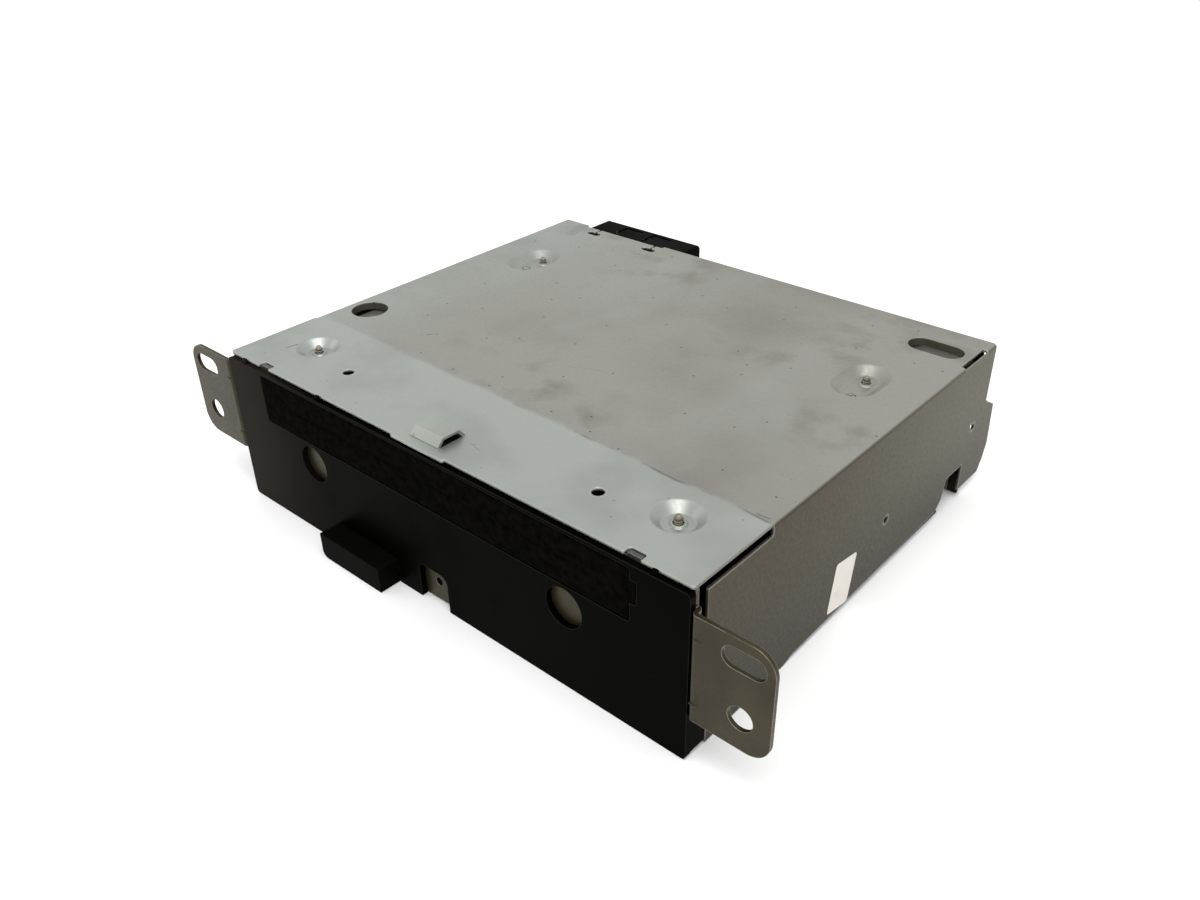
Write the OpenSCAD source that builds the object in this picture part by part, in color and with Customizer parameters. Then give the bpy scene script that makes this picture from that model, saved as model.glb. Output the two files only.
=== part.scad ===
// Slot-loading car disc player: a sheet-steel case with a front panel, two screw ears and the whole
// loading, clamping and playing mechanism inside. Millimetres, +X right, -Y to the front, +Z up.

/* [Case] */
// Width of the case over its two side panels
case_w = 178; // [176:0.5:182]
// Depth of the case, from the cover's front edge to its rear edge
case_d = 152; // [150:1:160]
// Height of the case, from its underside to the top of the cover
case_h = 51.4; // [51.2:0.2:54]
// Thickness of the cover, tray and rear panel
sheet_t = 0.8; // [0.6:0.1:1]
// Outer radius of the cover's bends
bend_r = 1.2; // [1:0.2:2.6]
// Depth of the relief slits beside the cover's front corners
slit_d = 30.3; // [20:1:40]
// Depth of the pressed dimples that the mechanism hangs from
dimple_depth = 2.3; // [1.8:0.1:2.6]

/* [Front panel] */
// Distance of the fascia's ends inside the case's sides
fascia_in = 0.15; // [0.1:0.05:0.8]
// Height of the black fascia
fascia_h = 50; // [49:0.2:50.2]
// Thickness of the fascia's wall
fascia_wall = 2; // [1.6:0.1:2.4]
// Distance that the fascia stands ahead of the cover's edge
fascia_proud = 1.35; // [1:0.05:1.5]
// Width of the disc slot
slot_w = 125; // [123:0.5:128]
// Height of the disc slot
slot_h = 5; // [4.8:0.1:5.4]
// Height of the disc's middle plane as it enters
disc_z = 41.5; // [41:0.1:41.7]
// Width of the foam dust seal
seal_w = 143.5; // [140:0.5:150]
// Height of the foam dust seal
seal_h = 15.2; // [14:0.2:16]
// Distance of the front connector block ahead of the fascia
block_proud = 7.05; // [5:0.5:9]

/* [Ears] */
// Thickness of the front plate and its ears
plate_t = 1.2; // [1:0.1:1.4]
// Reach of each ear beyond the case's side
ear_w = 22.3; // [20:0.1:26]
// Rise of the left ear over the right ear
ear_rise = 3; // [0:0.5:3]
// Height of the ear's lower edge
ear_low = 14.2; // [14:0.2:16]
// Height of the ear's upper edge
ear_high = 45.4; // [44:0.2:46]
// Radius of the ear's outer corners
ear_corner_r = 6; // [3:0.5:7]
// Distance of the ear's holes from its outer edge
ear_hole_in = 8.1; // [7.6:0.1:8.8]
// Height of the ear's long hole
ear_slot_z = 39.6; // [38.6:0.1:40]
// Height of the ear's round hole
ear_hole_z = 23.4; // [22:0.1:25]
// Diameter of the ear's round hole
ear_hole_d = 6.8; // [5:0.1:7]
// Width of the ear's long hole
ear_slot_w = 6; // [5:0.1:6.2]
// Length of the ear's long hole
ear_slot_l = 11.6; // [10:0.1:12]

/* [Disc and rollers] */
// Distance from the cover's front edge to the turntable's axis
hub_y = 70; // [70:0.5:72]
// Diameter of the loading roller at its ends
roller_d = 7.2; // [6.6:0.2:7.4]
// Distance from the cover's front edge to the roller's axis
roller_y = 16; // [15.5:0.1:16.5]
// Fall of the roller when it lets go of the disc
roller_drop = 2.9; // [2.4:0.1:3]
// Lift of the clamper at rest over its clamping height
clamp_lift = 6.3; // [6:0.1:6.4]
// Travel of the mode slider
mode_travel = 8; // [6:0.5:8]
// Travel of the pickup sled
sled_travel = 33; // [28:1:34]
// Way that the floating deck can move up or down
deck_float = 0.8; // [0.5:0.1:0.8]
// Diameter of the turntable
turntable_d = 29; // [26:1:30]

/* [Gears] */
// Module of all the gears
gear_m = 0.5; // [0.48:0.01:0.5]
// Teeth of the transfer gear
transfer_teeth = 32; // [32:1:33]
// Teeth of the idler gear's large wheel
idler_teeth = 36; // [34:1:36]
// Teeth of both motor pinions and the idler gear's small wheel
pinion_teeth = 12; // [12:1:13]
// Teeth of the mode gear's small wheel, which drives the rack
rack_wheel_teeth = 20; // [18:1:20]
// Teeth of the mode gear's large wheel
mode_wheel_teeth = 30; // [28:1:31]

/* [Boards and connectors] */
// Thickness of the main board
board_t = 1.6; // [1.2:0.2:1.6]
// Height of the main board's underside
board_z = 8.3; // [8.3:0.1:9]
// Width of the rear connector
rear_conn_w = 45.9; // [42:0.5:47]
// Distance that the rear connector stands behind the cover
rear_conn_proud = 11; // [9:0.5:12]
// Height of the rear connector's top under the top of the case
rear_conn_low = 0.9; // [0.9:0.1:2.5]

/* [Hidden] */

$fn = 48;

// Clearances shared by the whole product
over = 1;
fit = 0.04;
soft_gap = 0.3;
thin_gap = 0.2;
press = 0.02;
waist_share = 0.998;

// Depth of everything, and the cover's front edge in the product's own frame
front_reach = fascia_proud + block_proud;
front_edge_y = front_reach - (front_reach + case_d + rear_conn_proud) / 2;

// Heights that the whole case shares
under_z = case_h - sheet_t;
hang_z = under_z - dimple_depth;
side_in_x = case_w / 2 - sheet_t;
fascia_w = case_w - 2 * fascia_in;
ear_reach = case_w / 2 + ear_w;
ear_hole_x = ear_reach - ear_hole_in;

// Front plate and its ears, measured back from the cover's front edge
face_y = -fascia_proud;
face_back_y = face_y + fascia_wall;
plate_gap = 0.05;
plate_y = face_back_y + plate_gap;
plate_back_y = plate_y + plate_t;
plate_low = 0.3;
plate_high = under_z - thin_gap;
plate_half = case_w / 2 - soft_gap;
plate_step = 2.2;
plate_low_half = plate_half - plate_step;
hook_in = 17.5;
hook_x = case_w / 2 - hook_in;
hook_w = 4;
hook_high = case_h - thin_gap;
notch_w = 5;
notch_d = 2.5;
notch_r = 0.8;
ear_proud = 0.15;
ear_face_y = face_y - ear_proud;
ear_back_y = ear_face_y + plate_t;
ear_in_r = 0.3;
plate_hole_r = 1.4;
plate_hole_z = 6.8;
slot_gap = 0.8;

// Fascia, foam dust seal and front connector
face_corner_r = 1.2;
side_wrap_t = 1.6;
wrap_gap = 0.8;
side_wrap_h = ear_low - wrap_gap;
side_wrap_d = 6.2;
face_hole_x = 50.8;
face_hole_z = 26.1;
face_hole_r = 6;
foot_left = -5.6;
foot_right = 6.2;
foot_top = 12;
foot_r = 3;
foot_small_r = 2;
post_r = 1.5;
post_in = 11;
face_post_x = case_w / 2 - post_in;
face_post_zs = [20, 30];
post_reach = 1.2;
seal_x = -0.25;
seal_down = 8;
seal_low = disc_z - seal_down;
seal_recess = 0.7;
seal_proud = 0.2;
seal_tab_w = 2;
tab_down = 2.2;
seal_tab_low = disc_z - tab_down;
tab_up = 3.8;
seal_tab_high = disc_z + tab_up;
seal_edge_gap = 0.3;
seal_r = 0.8;
block_left = -43;
block_right = -15.7;
block_h = 8.26;
block_gap = 0.4;
block_back = 12;
block_r = 2.4;
front_pin_count = 8;
front_pin_w = 0.6;
front_pin_z = 4.6;
front_pin_reach = 3;

// Cover: side panels
side_front_y = 5;
side_front_z = ear_low - soft_gap;
side_low_y = side_wrap_d + thin_gap;
slit_drop = 3.4;
slit_low_z = case_h - slit_drop;
side_edges = [[0.27, 0], [0.295, 1.2], [0.72, 2.6], [0.83, 3.2], [0.852, 6.2]];
gap_rear = 10;
gap_front = 21.3;
gap_z = 13;
tail_low_z = 3.4;
tail_bend_z = 7.4;
tail_mid_z = 13;
tail_high_z = 27.8;
tail_top_z = 31.3;
tail_reach_low = 4.2;
tail_reach_bend = 6.6;
tail_reach = 8.3;
tail_reach_high = 7;
tail_reach_top = 0.9;
side_hole_y = 90.4;
side_hole_z = 19.8;
side_hole_r = 0.9;
lance_back = 8;
lance_z = 26;
lance_l = 4;
lance_w = 1.1;
lance_tilt = -37;

// Cover: top
flat_edge_in = 0.3;
cover_corner_r = 0.9;
pot_x = 70;
pot_y = 18.8;
pot_r = 6.9;
pot_floor_r = 4.2;
dent_r = 7.2;
dent_floor_r = 4;
dent_run = 7.2;
left_dimple = [-68.7, 112.6];
right_dimple = [69, 105.4];
stud_points = [[-70, 18.8], [70, 18.8], [-67.2, 115.8], [69.3, 108]];
stud_collar_r = 2.1;
stud_collar_h = 0.5;
dot_r = 1.75;
dot_x = 49;
dot_y = 14.2;
pilot_points = [[-68.6, 107.6], [69.4, 99]];
pilot_r = 0.8;
round_hole = [-80, 46.6];
round_hole_r = 6;
collar_t = 0.8;
collar_d = 1.8;
long_hole = [76, 137.8];
long_hole_w = 9;
long_hole_l = 17.5;
bridge_x = -6.9;
bridge_w = 11.1;
bridge_y = 2;
bridge_ramp = 2.1;
bridge_run = 5.8;
bridge_h = 2.5;
step_left = -11.7;
step_right = 9.3;
step_d = 0.8;
step_r = 0.7;
bend_slot_w = 1.5;
bend_slot_l = 15;
bend_slot_back = 6;
bend_slot_in = 0.3;

// Rear connector and the cut-outs of the cover over it
conn_in = 11.1;
conn_left = conn_in - side_in_x;
conn_sunk = 10.5;
conn_front = case_d - conn_sunk;
floor_in = 5;
conn_floor = case_d - floor_in;
conn_wall = 2.6;
conn_top = case_h - rear_conn_low;
conn_low_z = board_z + board_t + press;
conn_r = 1.2;
groove_w = 1.4;
groove_d = 0.7;
groove_shares = [0.255, 0.545];
groove_run_share = 0.19;
groove_back = 2.3;
pin_columns = 8;
pin_rows = 4;
pin_w = 1;
pin_reach = 7;
tail_l = 1.3;
conn_tail_y = conn_front - tail_l;
recess_d = 1.4;
recess_w = 37.8;
recess_r = 1;
catch_w = 6;
catch_d = 2.8;
catch_back = 5.6;
hook_neck_w = 1;
catch_ins = [7.6, 34.4];
catch_xs = [for (x = catch_ins) conn_left + x];
catch_r = 1;
catch_low = 0.35;

// Tray, rear panel and their screws
tray_gap = 0.4;
tray_half = side_in_x - tray_gap;
tray_low_half = plate_low_half - tray_gap;
tray_front_y = plate_back_y + press;
tray_wide_y = side_low_y + tray_gap;
tray_in = 6.3;
tray_rear_y = case_d - tray_in;
flap_h = 9;
tray_cut_w = 4.5;
flap_front = 8;
flange_end = 26;
flap_rear = case_d - flange_end;
rear_flange_h = 7.4;
panel_y = tray_rear_y + press;
panel_half = side_in_x - 2 * soft_gap;
panel_gap = 0.3;
conn_gap = 0.4;
rear_screw_in = 26.2;
rear_screw_x = side_in_x - rear_screw_in;
rear_screw_z = 4.2;
screw_r = 1.25;
screw_grip_r = 1.1;
screw_head_r = 2.4;
screw_head_h = 1.4;
screw_slot_w = 0.5;
screw_slot_d = 0.5;
screw_grip = 3;
vent_count = 6;
vent_pitch = 9;
vent_w = 3;
vent_h = 18;
vent_x = 4;
vent_z = 22;
boss_r = 2.8;
boss_in = 10.2;
boss_x = side_in_x - boss_in;
boss_end = 14;
boss_ys = [boss_end, case_d / 2, case_d - boss_end];

// Main board, servo board and what stands on them
board_in = 4;
board_half = side_in_x - board_in;
board_front_y = 3.6;
board_back = 0.7;
board_rear_y = tray_rear_y - board_back;
board_top = board_z + board_t;
chip_h = 1.6;
chips = [[-30, 40, 12, 12], [10, 50, 18, 18], [44, 100, 16, 10], [-36, 120, 9, 12], [20, 122, 14, 14]];
servo_chip = [10, 56, 14, 14];
chip_r = 0.6;
cap_h = 7.5;
caps = [[58, 128, 4], [48, 128, 4], [58, 138, 4], [-10, 136, 3], [0, 136, 3], [66, 60, 3], [66, 52, 3]];
cap_bevel = 0.4;
frame_t = 0.8;
frame_low_z = 22;
floor_z = frame_low_z + frame_t;
servo_half = 44;
servo_front_y = 20;
servo_rear_y = 92;
servo_t = 1.2;
servo_gap = 1.2;
servo_z = frame_low_z - servo_gap - servo_t;
servo_x = 39;
servo_ys = [26, 86];
socket_w = 27;
socket_h = 2.2;
socket_d = 6;
socket_y = 24;
ribbon_half = 11;
ribbon_t = 0.3;
ribbon_run = 6;

// Mechanism frame
wall_x = 62.8;
wall_out = wall_x + frame_t;
frame_front = 8;
frame_rear = 137;
flange_in = 1.8;
flange_x = side_in_x - flange_in;
flange_rear_y = tray_rear_y - soft_gap;
flange_z = hang_z - frame_t;
bar_z = 46.5;
bar_front_y = 9;
bar_rear_y = 19.4;
hang_hole_r = 1.4;
hang_screw_r = 1.15;
hang_head_r = 2.3;
hang_head_h = 1.3;
hang_tip = 2.6;
floor_hole_r = 11;
floor_gap_half = 15;
floor_gap_front = 116;
floor_gap_rear = 132;

// Roller arm and roller
roller_r = roller_d / 2;
disc_t = 1.2;
roller_z = disc_z - disc_t / 2 - roller_r;
pivot_y = 34;
pivot_z = roller_z - roller_drop / 2;
arm_reach = pivot_y - roller_y;
arm_t = 0.8;
arm_in = 1;
arm_x = wall_x - arm_in - arm_t;
arm_pin_r = 1.2;
arm_pad_r = 3.8;
shaft_r = 1.25;
bush_r = 2.4;
bush_flange_r = 3.1;
bush_flange_t = 0.5;
bush_end = 0.3;
web_front = 4.5;
web_rear = 4;
web_drop = 5.2;
web_front_y = roller_y + web_front;
web_rear_y = pivot_y - web_rear;
web_z = pivot_z - web_drop;
cam_share = 2 / 3;
cam_y = pivot_y - arm_reach * cam_share;
cam_z = pivot_z + roller_drop / 2 * cam_share;
cam_fall = roller_drop * cam_share;
cam_pin_r = 1;
cam_gap = 0.3;
cam_pin_end = 65.2;
roller_half = 57.5;
roller_waist = 0.8;
shaft_left = 62.4;
shaft_right = 68.4;
pulley_r = 4.4;
groove_r = 3.5;
pulley_x = 65.2;
pulley_w = 2.4;
pulley_side_t = 0.5;
belt_t = 0.8;
belt_w = 1.2;

// Loading gears, on pins along X at the right wall
pin_r = 1;
thin_pin_r = 0.8;
hub_wall = 0.6;
gear_x = 70.2;
gear_w = 1.8;
big_gear_x = 67.9;
big_gear_w = 1.7;
pin_over = 0.5;
pin_end = gear_x + gear_w + pin_over;
idler_y = pivot_y + gear_m * (transfer_teeth + pinion_teeth) / 2;
load_motor_y = idler_y + gear_m * (idler_teeth + pinion_teeth) / 2;
idler_shoulder_r = 1.8;
motor_r = 6;
motor_flat = 10;
motor_l = 13;
motor_boss_r = 2;
motor_boss_h = 0.6;
motor_shaft_r = 0.6;
terminal_w = 1.2;
terminal_l = 1.6;
terminal_t = 0.4;
terminal_z = 3.4;
bracket_t = 0.8;
bracket_x = big_gear_x + big_gear_w + soft_gap;
bracket_w = 6.6;
bracket_hole_gap = 0.2;
foot_front_gap = 2;
foot_t = 0.8;
foot_h = 3.4;

// Mode slider and lock slider, on the frame's two walls
slider_t = 1;
slider_x = wall_out + soft_gap;
pitch_z = 29;
rack_root = 0.6;
slider_low = pitch_z + rack_root;
slider_top = 33.6;
slider_front_y = 8.5;
slider_rear_y = 126;
cam_lobe_front = 10.5;
cam_lobe_wall = 1.4;
deck_t = 1;
deck_z = 34.2;
deck_top_z = deck_z + deck_t;
deck_pin_z = deck_z + deck_t / 2;
deck_pin_ys = [72, 118];
deck_pin_r = 1;
deck_pin_end = 66;
lock_gap = deck_float + soft_gap;
lobe_wall = 1.3;
lobe_top_z = deck_pin_z + deck_pin_r + lock_gap + lobe_wall;
run_gap = 0.4;
mode_ys = [50, 104];
lock_ys = [86, 102];
guide_pin_z = 31.6;
guide_pin_r = 1.1;
guide_pin_fit = 0.06;
guide_head_r = 1.8;
guide_head_t = 0.6;
head_gap = 0.1;
mode_gear_y = 82;
mode_z = pitch_z - gear_m * rack_wheel_teeth / 2;
mode_motor_y = mode_gear_y + gear_m * (mode_wheel_teeth + pinion_teeth) / 2;
rack_ends = 3;
rack_wheel_w = 1.7;
mode_wheel_out = 2.6;
mode_wheel_x = wall_out + mode_wheel_out;
mode_wheel_w = 1.8;
mode_pin_end = mode_wheel_x + mode_wheel_w + pin_over;
link_y = 112;
link_tab_half = 3;
link_tab_z = 21.5;
link_pin_r = 1;
link_pin_low = 19.7;
link_t = 0.8;
link_z = 20.2;
link_gap = 0.12;
link_half_w = 3.4;
link_boss_r = 5;
link_tip = 1.9;
link_fork_in = 1.9;
link_pivot_r = 1.6;
link_head_r = 3.2;
link_head_t = 0.6;
lock_front_y = 66;
lock_rear_y = 129.5;

// Upper disc guide and its levers
guide_half = wall_x - soft_gap;
guide_z = 43.6;
guide_t = 1.6;
guide_top_z = guide_z + guide_t;
guide_front_y = 3;
guide_rear_y = 33;
guide_r = 2;
rib_z = disc_z + disc_t / 2 + thin_gap;
rib_half_d = 3;
rib_front_y = roller_y - rib_half_d;
rib_rear_y = roller_y + rib_half_d;
rib_half = 46;
lever_x = 57.5;
lever_y = 28;
lever_pin_x = 55;
lever_pin_y = 9.5;
lever_t = 0.7;
lever_z = guide_top_z + head_gap;
lever_half_w = 1.5;
lever_boss_r = 2.6;
lever_pin_r = 0.9;
lever_dip = 1.5;
lever_pin_low = disc_z - lever_dip;
lever_post_r = 1.2;
lever_head_r = 1.8;
lever_head_t = 0.4;
lever_notch_x = 52.5;
lever_notch_front = 6.4;
lever_notch_rear = 12.6;
guide_boss_r = 2.6;
guide_screw_r = 1;
guide_cap_r = 1.9;
guide_cap_h = 1.5;
guide_screw_grip = 1;

// Floating deck
deck_half = 54;
deck_front_y = 38;
deck_rear_y = 138;
deck_r = 3;
post_x = 49;
post_t = 1;
post_front_y = 121.5;
post_rear_y = 130.5;
hinge_y = 126;
hinge_z = 44.9;
hinge_r = 1;
post_over = 2.2;
post_top_z = hinge_z + post_over;
damper_points = [[-46, 46], [46, 46], [-46, 130], [46, 130]];
damper_r = 4.2;
damper_waist_r = 2.8;
damper_foot = 2.2;
damper_hole_r = 1.5;
damper_hole_gap = 1.2;
deck_stud_r = 1.2;
deck_stud_l = 5;
spring_r = 5.1;
spring_wire = 0.3;
spring_turns = 5;
spring_sides = 6;
spring_steps = 14;

// Spindle, pickup and feed
seat_z = 37.6;
hub_r = 7.4;
hub_bevel = 1;
hub_h = 1.7;
turntable_r = turntable_d / 2;
turntable_low = deck_top_z + 2 * soft_gap;
spindle_r = 1;
spindle_low = 27.2;
can_r = 12.5;
can_low = 27.6;
can_high = deck_z - press;
can_neck_r = 5;
can_neck_high = deck_top_z + head_gap;
deck_hole_gap = 0.3;
lens_out = 24;
sled_front = 13;
sled_back = 9;
lens_y = hub_y + lens_out;
sled_front_y = lens_y - sled_front;
sled_rear_y = lens_y + sled_back;
sled_half = 20;
sled_low = 25.6;
sled_high = 33.4;
sled_r = 2;
tower_half_x = 9;
tower_half_y = 7;
tower_high = 35.7;
lens_r = 2.2;
lens_low = 34.4;
lens_high = 36.1;
lens_bevel = 0.5;
window_gap = 0.6;
rail_x = 17;
rail_z = 30.4;
rail_r = 1.5;
rail_fit = 0.05;
rail_tab_t = 1.2;
rail_front = 16;
rail_tab_y = lens_y - rail_front;
rail_tab_half = 3.6;
rail_tab_low = 27;
rail_back_y = sled_rear_y + sled_travel + 2 * soft_gap;
screw_x = -24.4;
screw_z = 28.8;
screw_core_r = 1.25;
screw_throw = 0.35;
screw_pitch = 3;
screw_steps = 10;
screw_fn = 12;
journal_r = 0.9;
screw_tab_low = 26;
screw_tab_left = -28.4;
screw_tab_right = -21.2;
nut_half = 3.5;
nut_gap = 0.35;
nut_half_z = 1.6;
tooth_half = 0.3;
tooth_half_z = 0.4;
tooth_gap = 0.25;
feed_motor_r = 4.6;
feed_motor_l = 10.5;

// Clamp arm, drawn as it clamps a disc and then turned up about its hinge
clamp_reach = hinge_y - hub_y;
clamp_tilt = asin(clamp_lift / clamp_reach);
clamp_z = seat_z + disc_t;
clamp_r = 13.5;
clamp_h = 1.3;
clamp_recess_r = hub_r + 0.5;
clamp_recess_d = hub_h - disc_t + 0.35;
clamp_neck_r = 6;
clamp_gap = 0.4;
clamp_arm_t = 0.8;
clamp_arm_z = clamp_z + clamp_h + clamp_gap;
clamp_cap_z = clamp_arm_z + clamp_arm_t + clamp_gap;
clamp_cap_r = 8;
clamp_cap_h = 0.5;
magnet_r = 4.8;
magnet_h = 1;
clamp_top = 43.8;
clamp_step_front = 88;
clamp_step_rear = 92;
clamp_round_r = 15.5;
clamp_mid_half = 34;
clamp_mid_y = 98;
clamp_wide_y = 106;
clamp_ear_t = 0.8;
clamp_ear_x = post_x - run_gap - clamp_ear_t;
clamp_ear_r = 2.4;
clamp_rear_y = hinge_y + clamp_ear_r;
clamp_window = [30, 106, 119];
lift_y = 99;
lift_r = 0.8;
lift_tab_half = 2.4;
lift_tab_x = 60;
lift_end = 65.4;
lift_z = clamp_top + clamp_arm_t / 2;
lift_rise = (hinge_y - lift_y) * sin(clamp_tilt);
ramp_gap = deck_float + 0.25;
ramp_low_z = lift_z - lift_r - ramp_gap;
ramp_high_z = ramp_low_z + lift_rise;
ramp_flat = 3;
lift_half = 2.2;
coil_r = 1.8;
coil_wire = 0.3;
coil_turns = 4;
coil_x = -47.2;
coil_l = 3;
coil_gap = 0.6;
coil_leg = 13;
coil_leg_low = 36;

// Label on the right side panel
label_w = 11;
label_h = 16;
label_t = 0.12;
label_y = 68.4;
label_z = 10.6;
label_r = 1;
label_tilt = 9;

// Gear teeth
pressure = 20;
tip_share = 0.8;
dedendum_share = 1.15;
tooth_play = 0.07;
flank_steps = 4;

// Placing helpers: everything is measured back from the cover's front edge
module put() {
  move([0, front_edge_y, 0]) children();
}

module paired() {
  children();
  mirror([1, 0, 0]) children();
}

// An outline in X and Y as a sheet that starts at height z
module sheet_xy(z, t) {
  move([0, 0, z]) linear_extrude(t) children();
}

// An outline in X and Z as a sheet whose front face is at y
module sheet_xz(y, t) {
  move([0, y + t, 0]) rotate([90, 0, 0]) linear_extrude(t) children();
}

// An outline in Y and Z as a sheet that starts at x
module sheet_yz(x, t) {
  move([x, 0, 0]) rotate([90, 0, 90]) linear_extrude(t) children();
}

module block(low, high) {
  move(low) cube(high - low);
}

module rect(low, high) {
  move(low) square(high - low);
}

module rod_x(r, x0, x1, y, z) {
  move([x0, y, z]) rotate([0, 90, 0]) cylinder(h = x1 - x0, r = r);
}

module rod_y(r, y0, y1, x, z) {
  move([x, y1, z]) rotate([90, 0, 0]) cylinder(h = y1 - y0, r = r);
}

module rod_z(r, z0, z1, x, y) {
  move([x, y, z0]) cylinder(h = z1 - z0, r = r);
}

// A long round-ended outline, its length along the first axis
module slot_2d(length, width) {
  square([length - width, width], center = true);
  for (end = [-1, 1])
    move([end * (length - width) / 2, 0]) circle(d = width);
}

module soft_rect(low, high, r) {
  rect([low.x + r, low.y], [high.x - r, high.y]);
  rect([low.x, low.y + r], [high.x, high.y - r]);
  for (x = [low.x + r, high.x - r], y = [low.y + r, high.y - r])
    move([x, y]) circle(r);
}

// A round-ended link between two points
module move(v) { translate(v) children(); }

module link_2d(a, b, r) {
  d = b - a;
  move(a) circle(r);
  move(b) circle(r);
  w = r * waist_share;
  move(a) rotate(atan2(d.y, d.x)) move([0, -w]) square([norm(d), 2 * w]);
}

// Involute gear outline; one tooth points along the angle turn
function polar(r, a) = [r * cos(a), r * sin(a)];
function involute(a) = tan(a) * 180 / PI - a;
function flank(r, rb, half) = half + involute(pressure) - involute(acos(min(1, rb / r)));

module gear_2d(teeth, turn) {
  rp = teeth * gear_m / 2;
  rb = rp * cos(pressure);
  ra = rp + tip_share * gear_m;
  rr = rp - dedendum_share * gear_m;
  rs = max(rb, rr);
  half = 90 / teeth - tooth_play / 2 / rp * 180 / PI;
  step = (ra - rs) / flank_steps;
  low = flank(rs, rb, half);
  polygon([for (k = [0:teeth - 1]) each concat(
    [polar(rr, turn + 360 / teeth * k - low)],
    [for (i = [0:flank_steps]) polar(rs + step * i, turn + 360 / teeth * k - flank(rs + step * i, rb,
      half))],
    [for (i = [flank_steps:-1:0]) polar(rs + step * i, turn + 360 / teeth * k + flank(rs + step * i,
      rb, half))],
    [polar(rr, turn + 360 / teeth * k + low)])]);
}

// One gear on an axis along X, with its bore
module gear_x(teeth, turn, x, w, y, z, bore) {
  sheet_yz(x, w) move([y, z]) difference() {
    gear_2d(teeth, turn);
    circle(bore);
  }
}

function facing(teeth) = 180 - 180 / teeth;

// A wire wound round Z
module coil(r, wire_r, turns, height) {
  n = spring_sides;
  rings = turns * spring_steps;
  points = [for (i = [0:rings], j = [0:n - 1])
    let (a = 360 * i / spring_steps, b = 360 * j / n, s = r + wire_r * cos(b))
    [s * cos(a), s * sin(a), wire_r + (height - 2 * wire_r) * i / rings + wire_r * sin(b)]];
  sides = [for (i = [0:rings - 1], j = [0:n - 1])
    [i * n + j, i * n + (j + 1) % n, (i + 1) * n + (j + 1) % n, (i + 1) * n + j]];
  ends = [[for (j = [n - 1:-1:0]) j], [for (j = [0:n - 1]) rings * n + j]];
  polyhedron(points = points, faces = concat(sides, ends), convexity = 8);
}

// Top cover
module cover_section() {
  difference() {
    union() {
      rect([-case_w / 2, slit_low_z - over], [case_w / 2, case_h - bend_r]);
      rect([-case_w / 2 + bend_r, slit_low_z - over], [case_w / 2 - bend_r, case_h]);
      for (side = [-1, 1])
        move([side * (case_w / 2 - bend_r), case_h - bend_r]) circle(bend_r);
    }
    rect([-side_in_x, slit_low_z - 2 * over], [side_in_x, case_h - bend_r]);
    rect([-case_w / 2 + bend_r, slit_low_z - 2 * over], [case_w / 2 - bend_r, under_z]);
    for (side = [-1, 1])
      move([side * (case_w / 2 - bend_r), case_h - bend_r]) circle(bend_r - sheet_t);
  }
}

module side_panel_outline() {
  polygon([
    [side_front_y, slit_low_z],
    [side_front_y, side_front_z],
    [side_low_y, side_front_z],
    [side_low_y, 0],
    for (edge = side_edges) [case_d * edge.x, edge.y],
    [case_d - gap_front, gap_z],
    [case_d - gap_rear, gap_z],
    [case_d - gap_rear, tail_low_z],
    [case_d + tail_reach_low, tail_low_z],
    [case_d + tail_reach_bend, tail_bend_z],
    [case_d + tail_reach, tail_mid_z],
    [case_d + tail_reach_high, tail_high_z],
    [case_d + tail_reach_top, tail_top_z],
    [case_d, tail_top_z + tail_reach_top],
    [case_d, slit_low_z]]);
}

module side_panel() {
  sheet_yz(side_in_x, sheet_t) difference() {
    side_panel_outline();
    move([side_hole_y, side_hole_z]) circle(side_hole_r);
    move([case_d - lance_back, lance_z]) rotate(lance_tilt) slot_2d(lance_l, lance_w);
  }
}

module cover_top_outline() {
  w = case_w / 2 - flat_edge_in;
  soft_rect([-w, 0], [w, slit_d + over], cover_corner_r);
  soft_rect([step_left, -step_d], [step_right, notch_d], step_r);
}

// A pressed dimple: its outside below the sheet, or the pocket that is cut from above
module dimple(centre, r, floor_r, run, low, high, extra) {
  move([centre.x, centre.y, low]) {
    for (end = [-1, 1]) move([0, end * run / 2, 0]) {
      cylinder(h = high - low, r1 = floor_r, r2 = r);
      move([0, 0, high - low - press]) cylinder(h = extra + press, r = r);
    }
    if (run > 0) {
      move([0, run / 2, 0]) rotate([90, 0, 0]) linear_extrude(run)
        polygon([[-floor_r, 0], [floor_r, 0], [r, high - low], [r, high - low + extra],
          [-r, high - low + extra], [-r, high - low]]);
    }
  }
}

module dimples(low, high, extra) {
  for (side = [-1, 1])
    dimple([side * pot_x, pot_y], pot_r, pot_floor_r, 0, low, high,
      extra);
  for (centre = [left_dimple, right_dimple])
    dimple(centre, dent_r, dent_floor_r, dent_run, low, high, extra);
}

module bridge() {
  b = bridge_y + 2 * bridge_ramp + bridge_run;
  sheet_yz(bridge_x, bridge_w) polygon([
    [bridge_y, under_z],
    [bridge_y, case_h],
    [bridge_y + bridge_ramp, case_h + bridge_h],
    [b - bridge_ramp, case_h + bridge_h],
    [b, case_h],
    [b, under_z],
    [b - sheet_t, under_z],
    [b - sheet_t, case_h - sheet_t / 2],
    [b - bridge_ramp - sheet_t / 2, case_h + bridge_h - sheet_t],
    [bridge_y + bridge_ramp + sheet_t / 2, case_h + bridge_h - sheet_t],
    [bridge_y + sheet_t, case_h - sheet_t / 2],
    [bridge_y + sheet_t, under_z]]);
}

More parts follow.
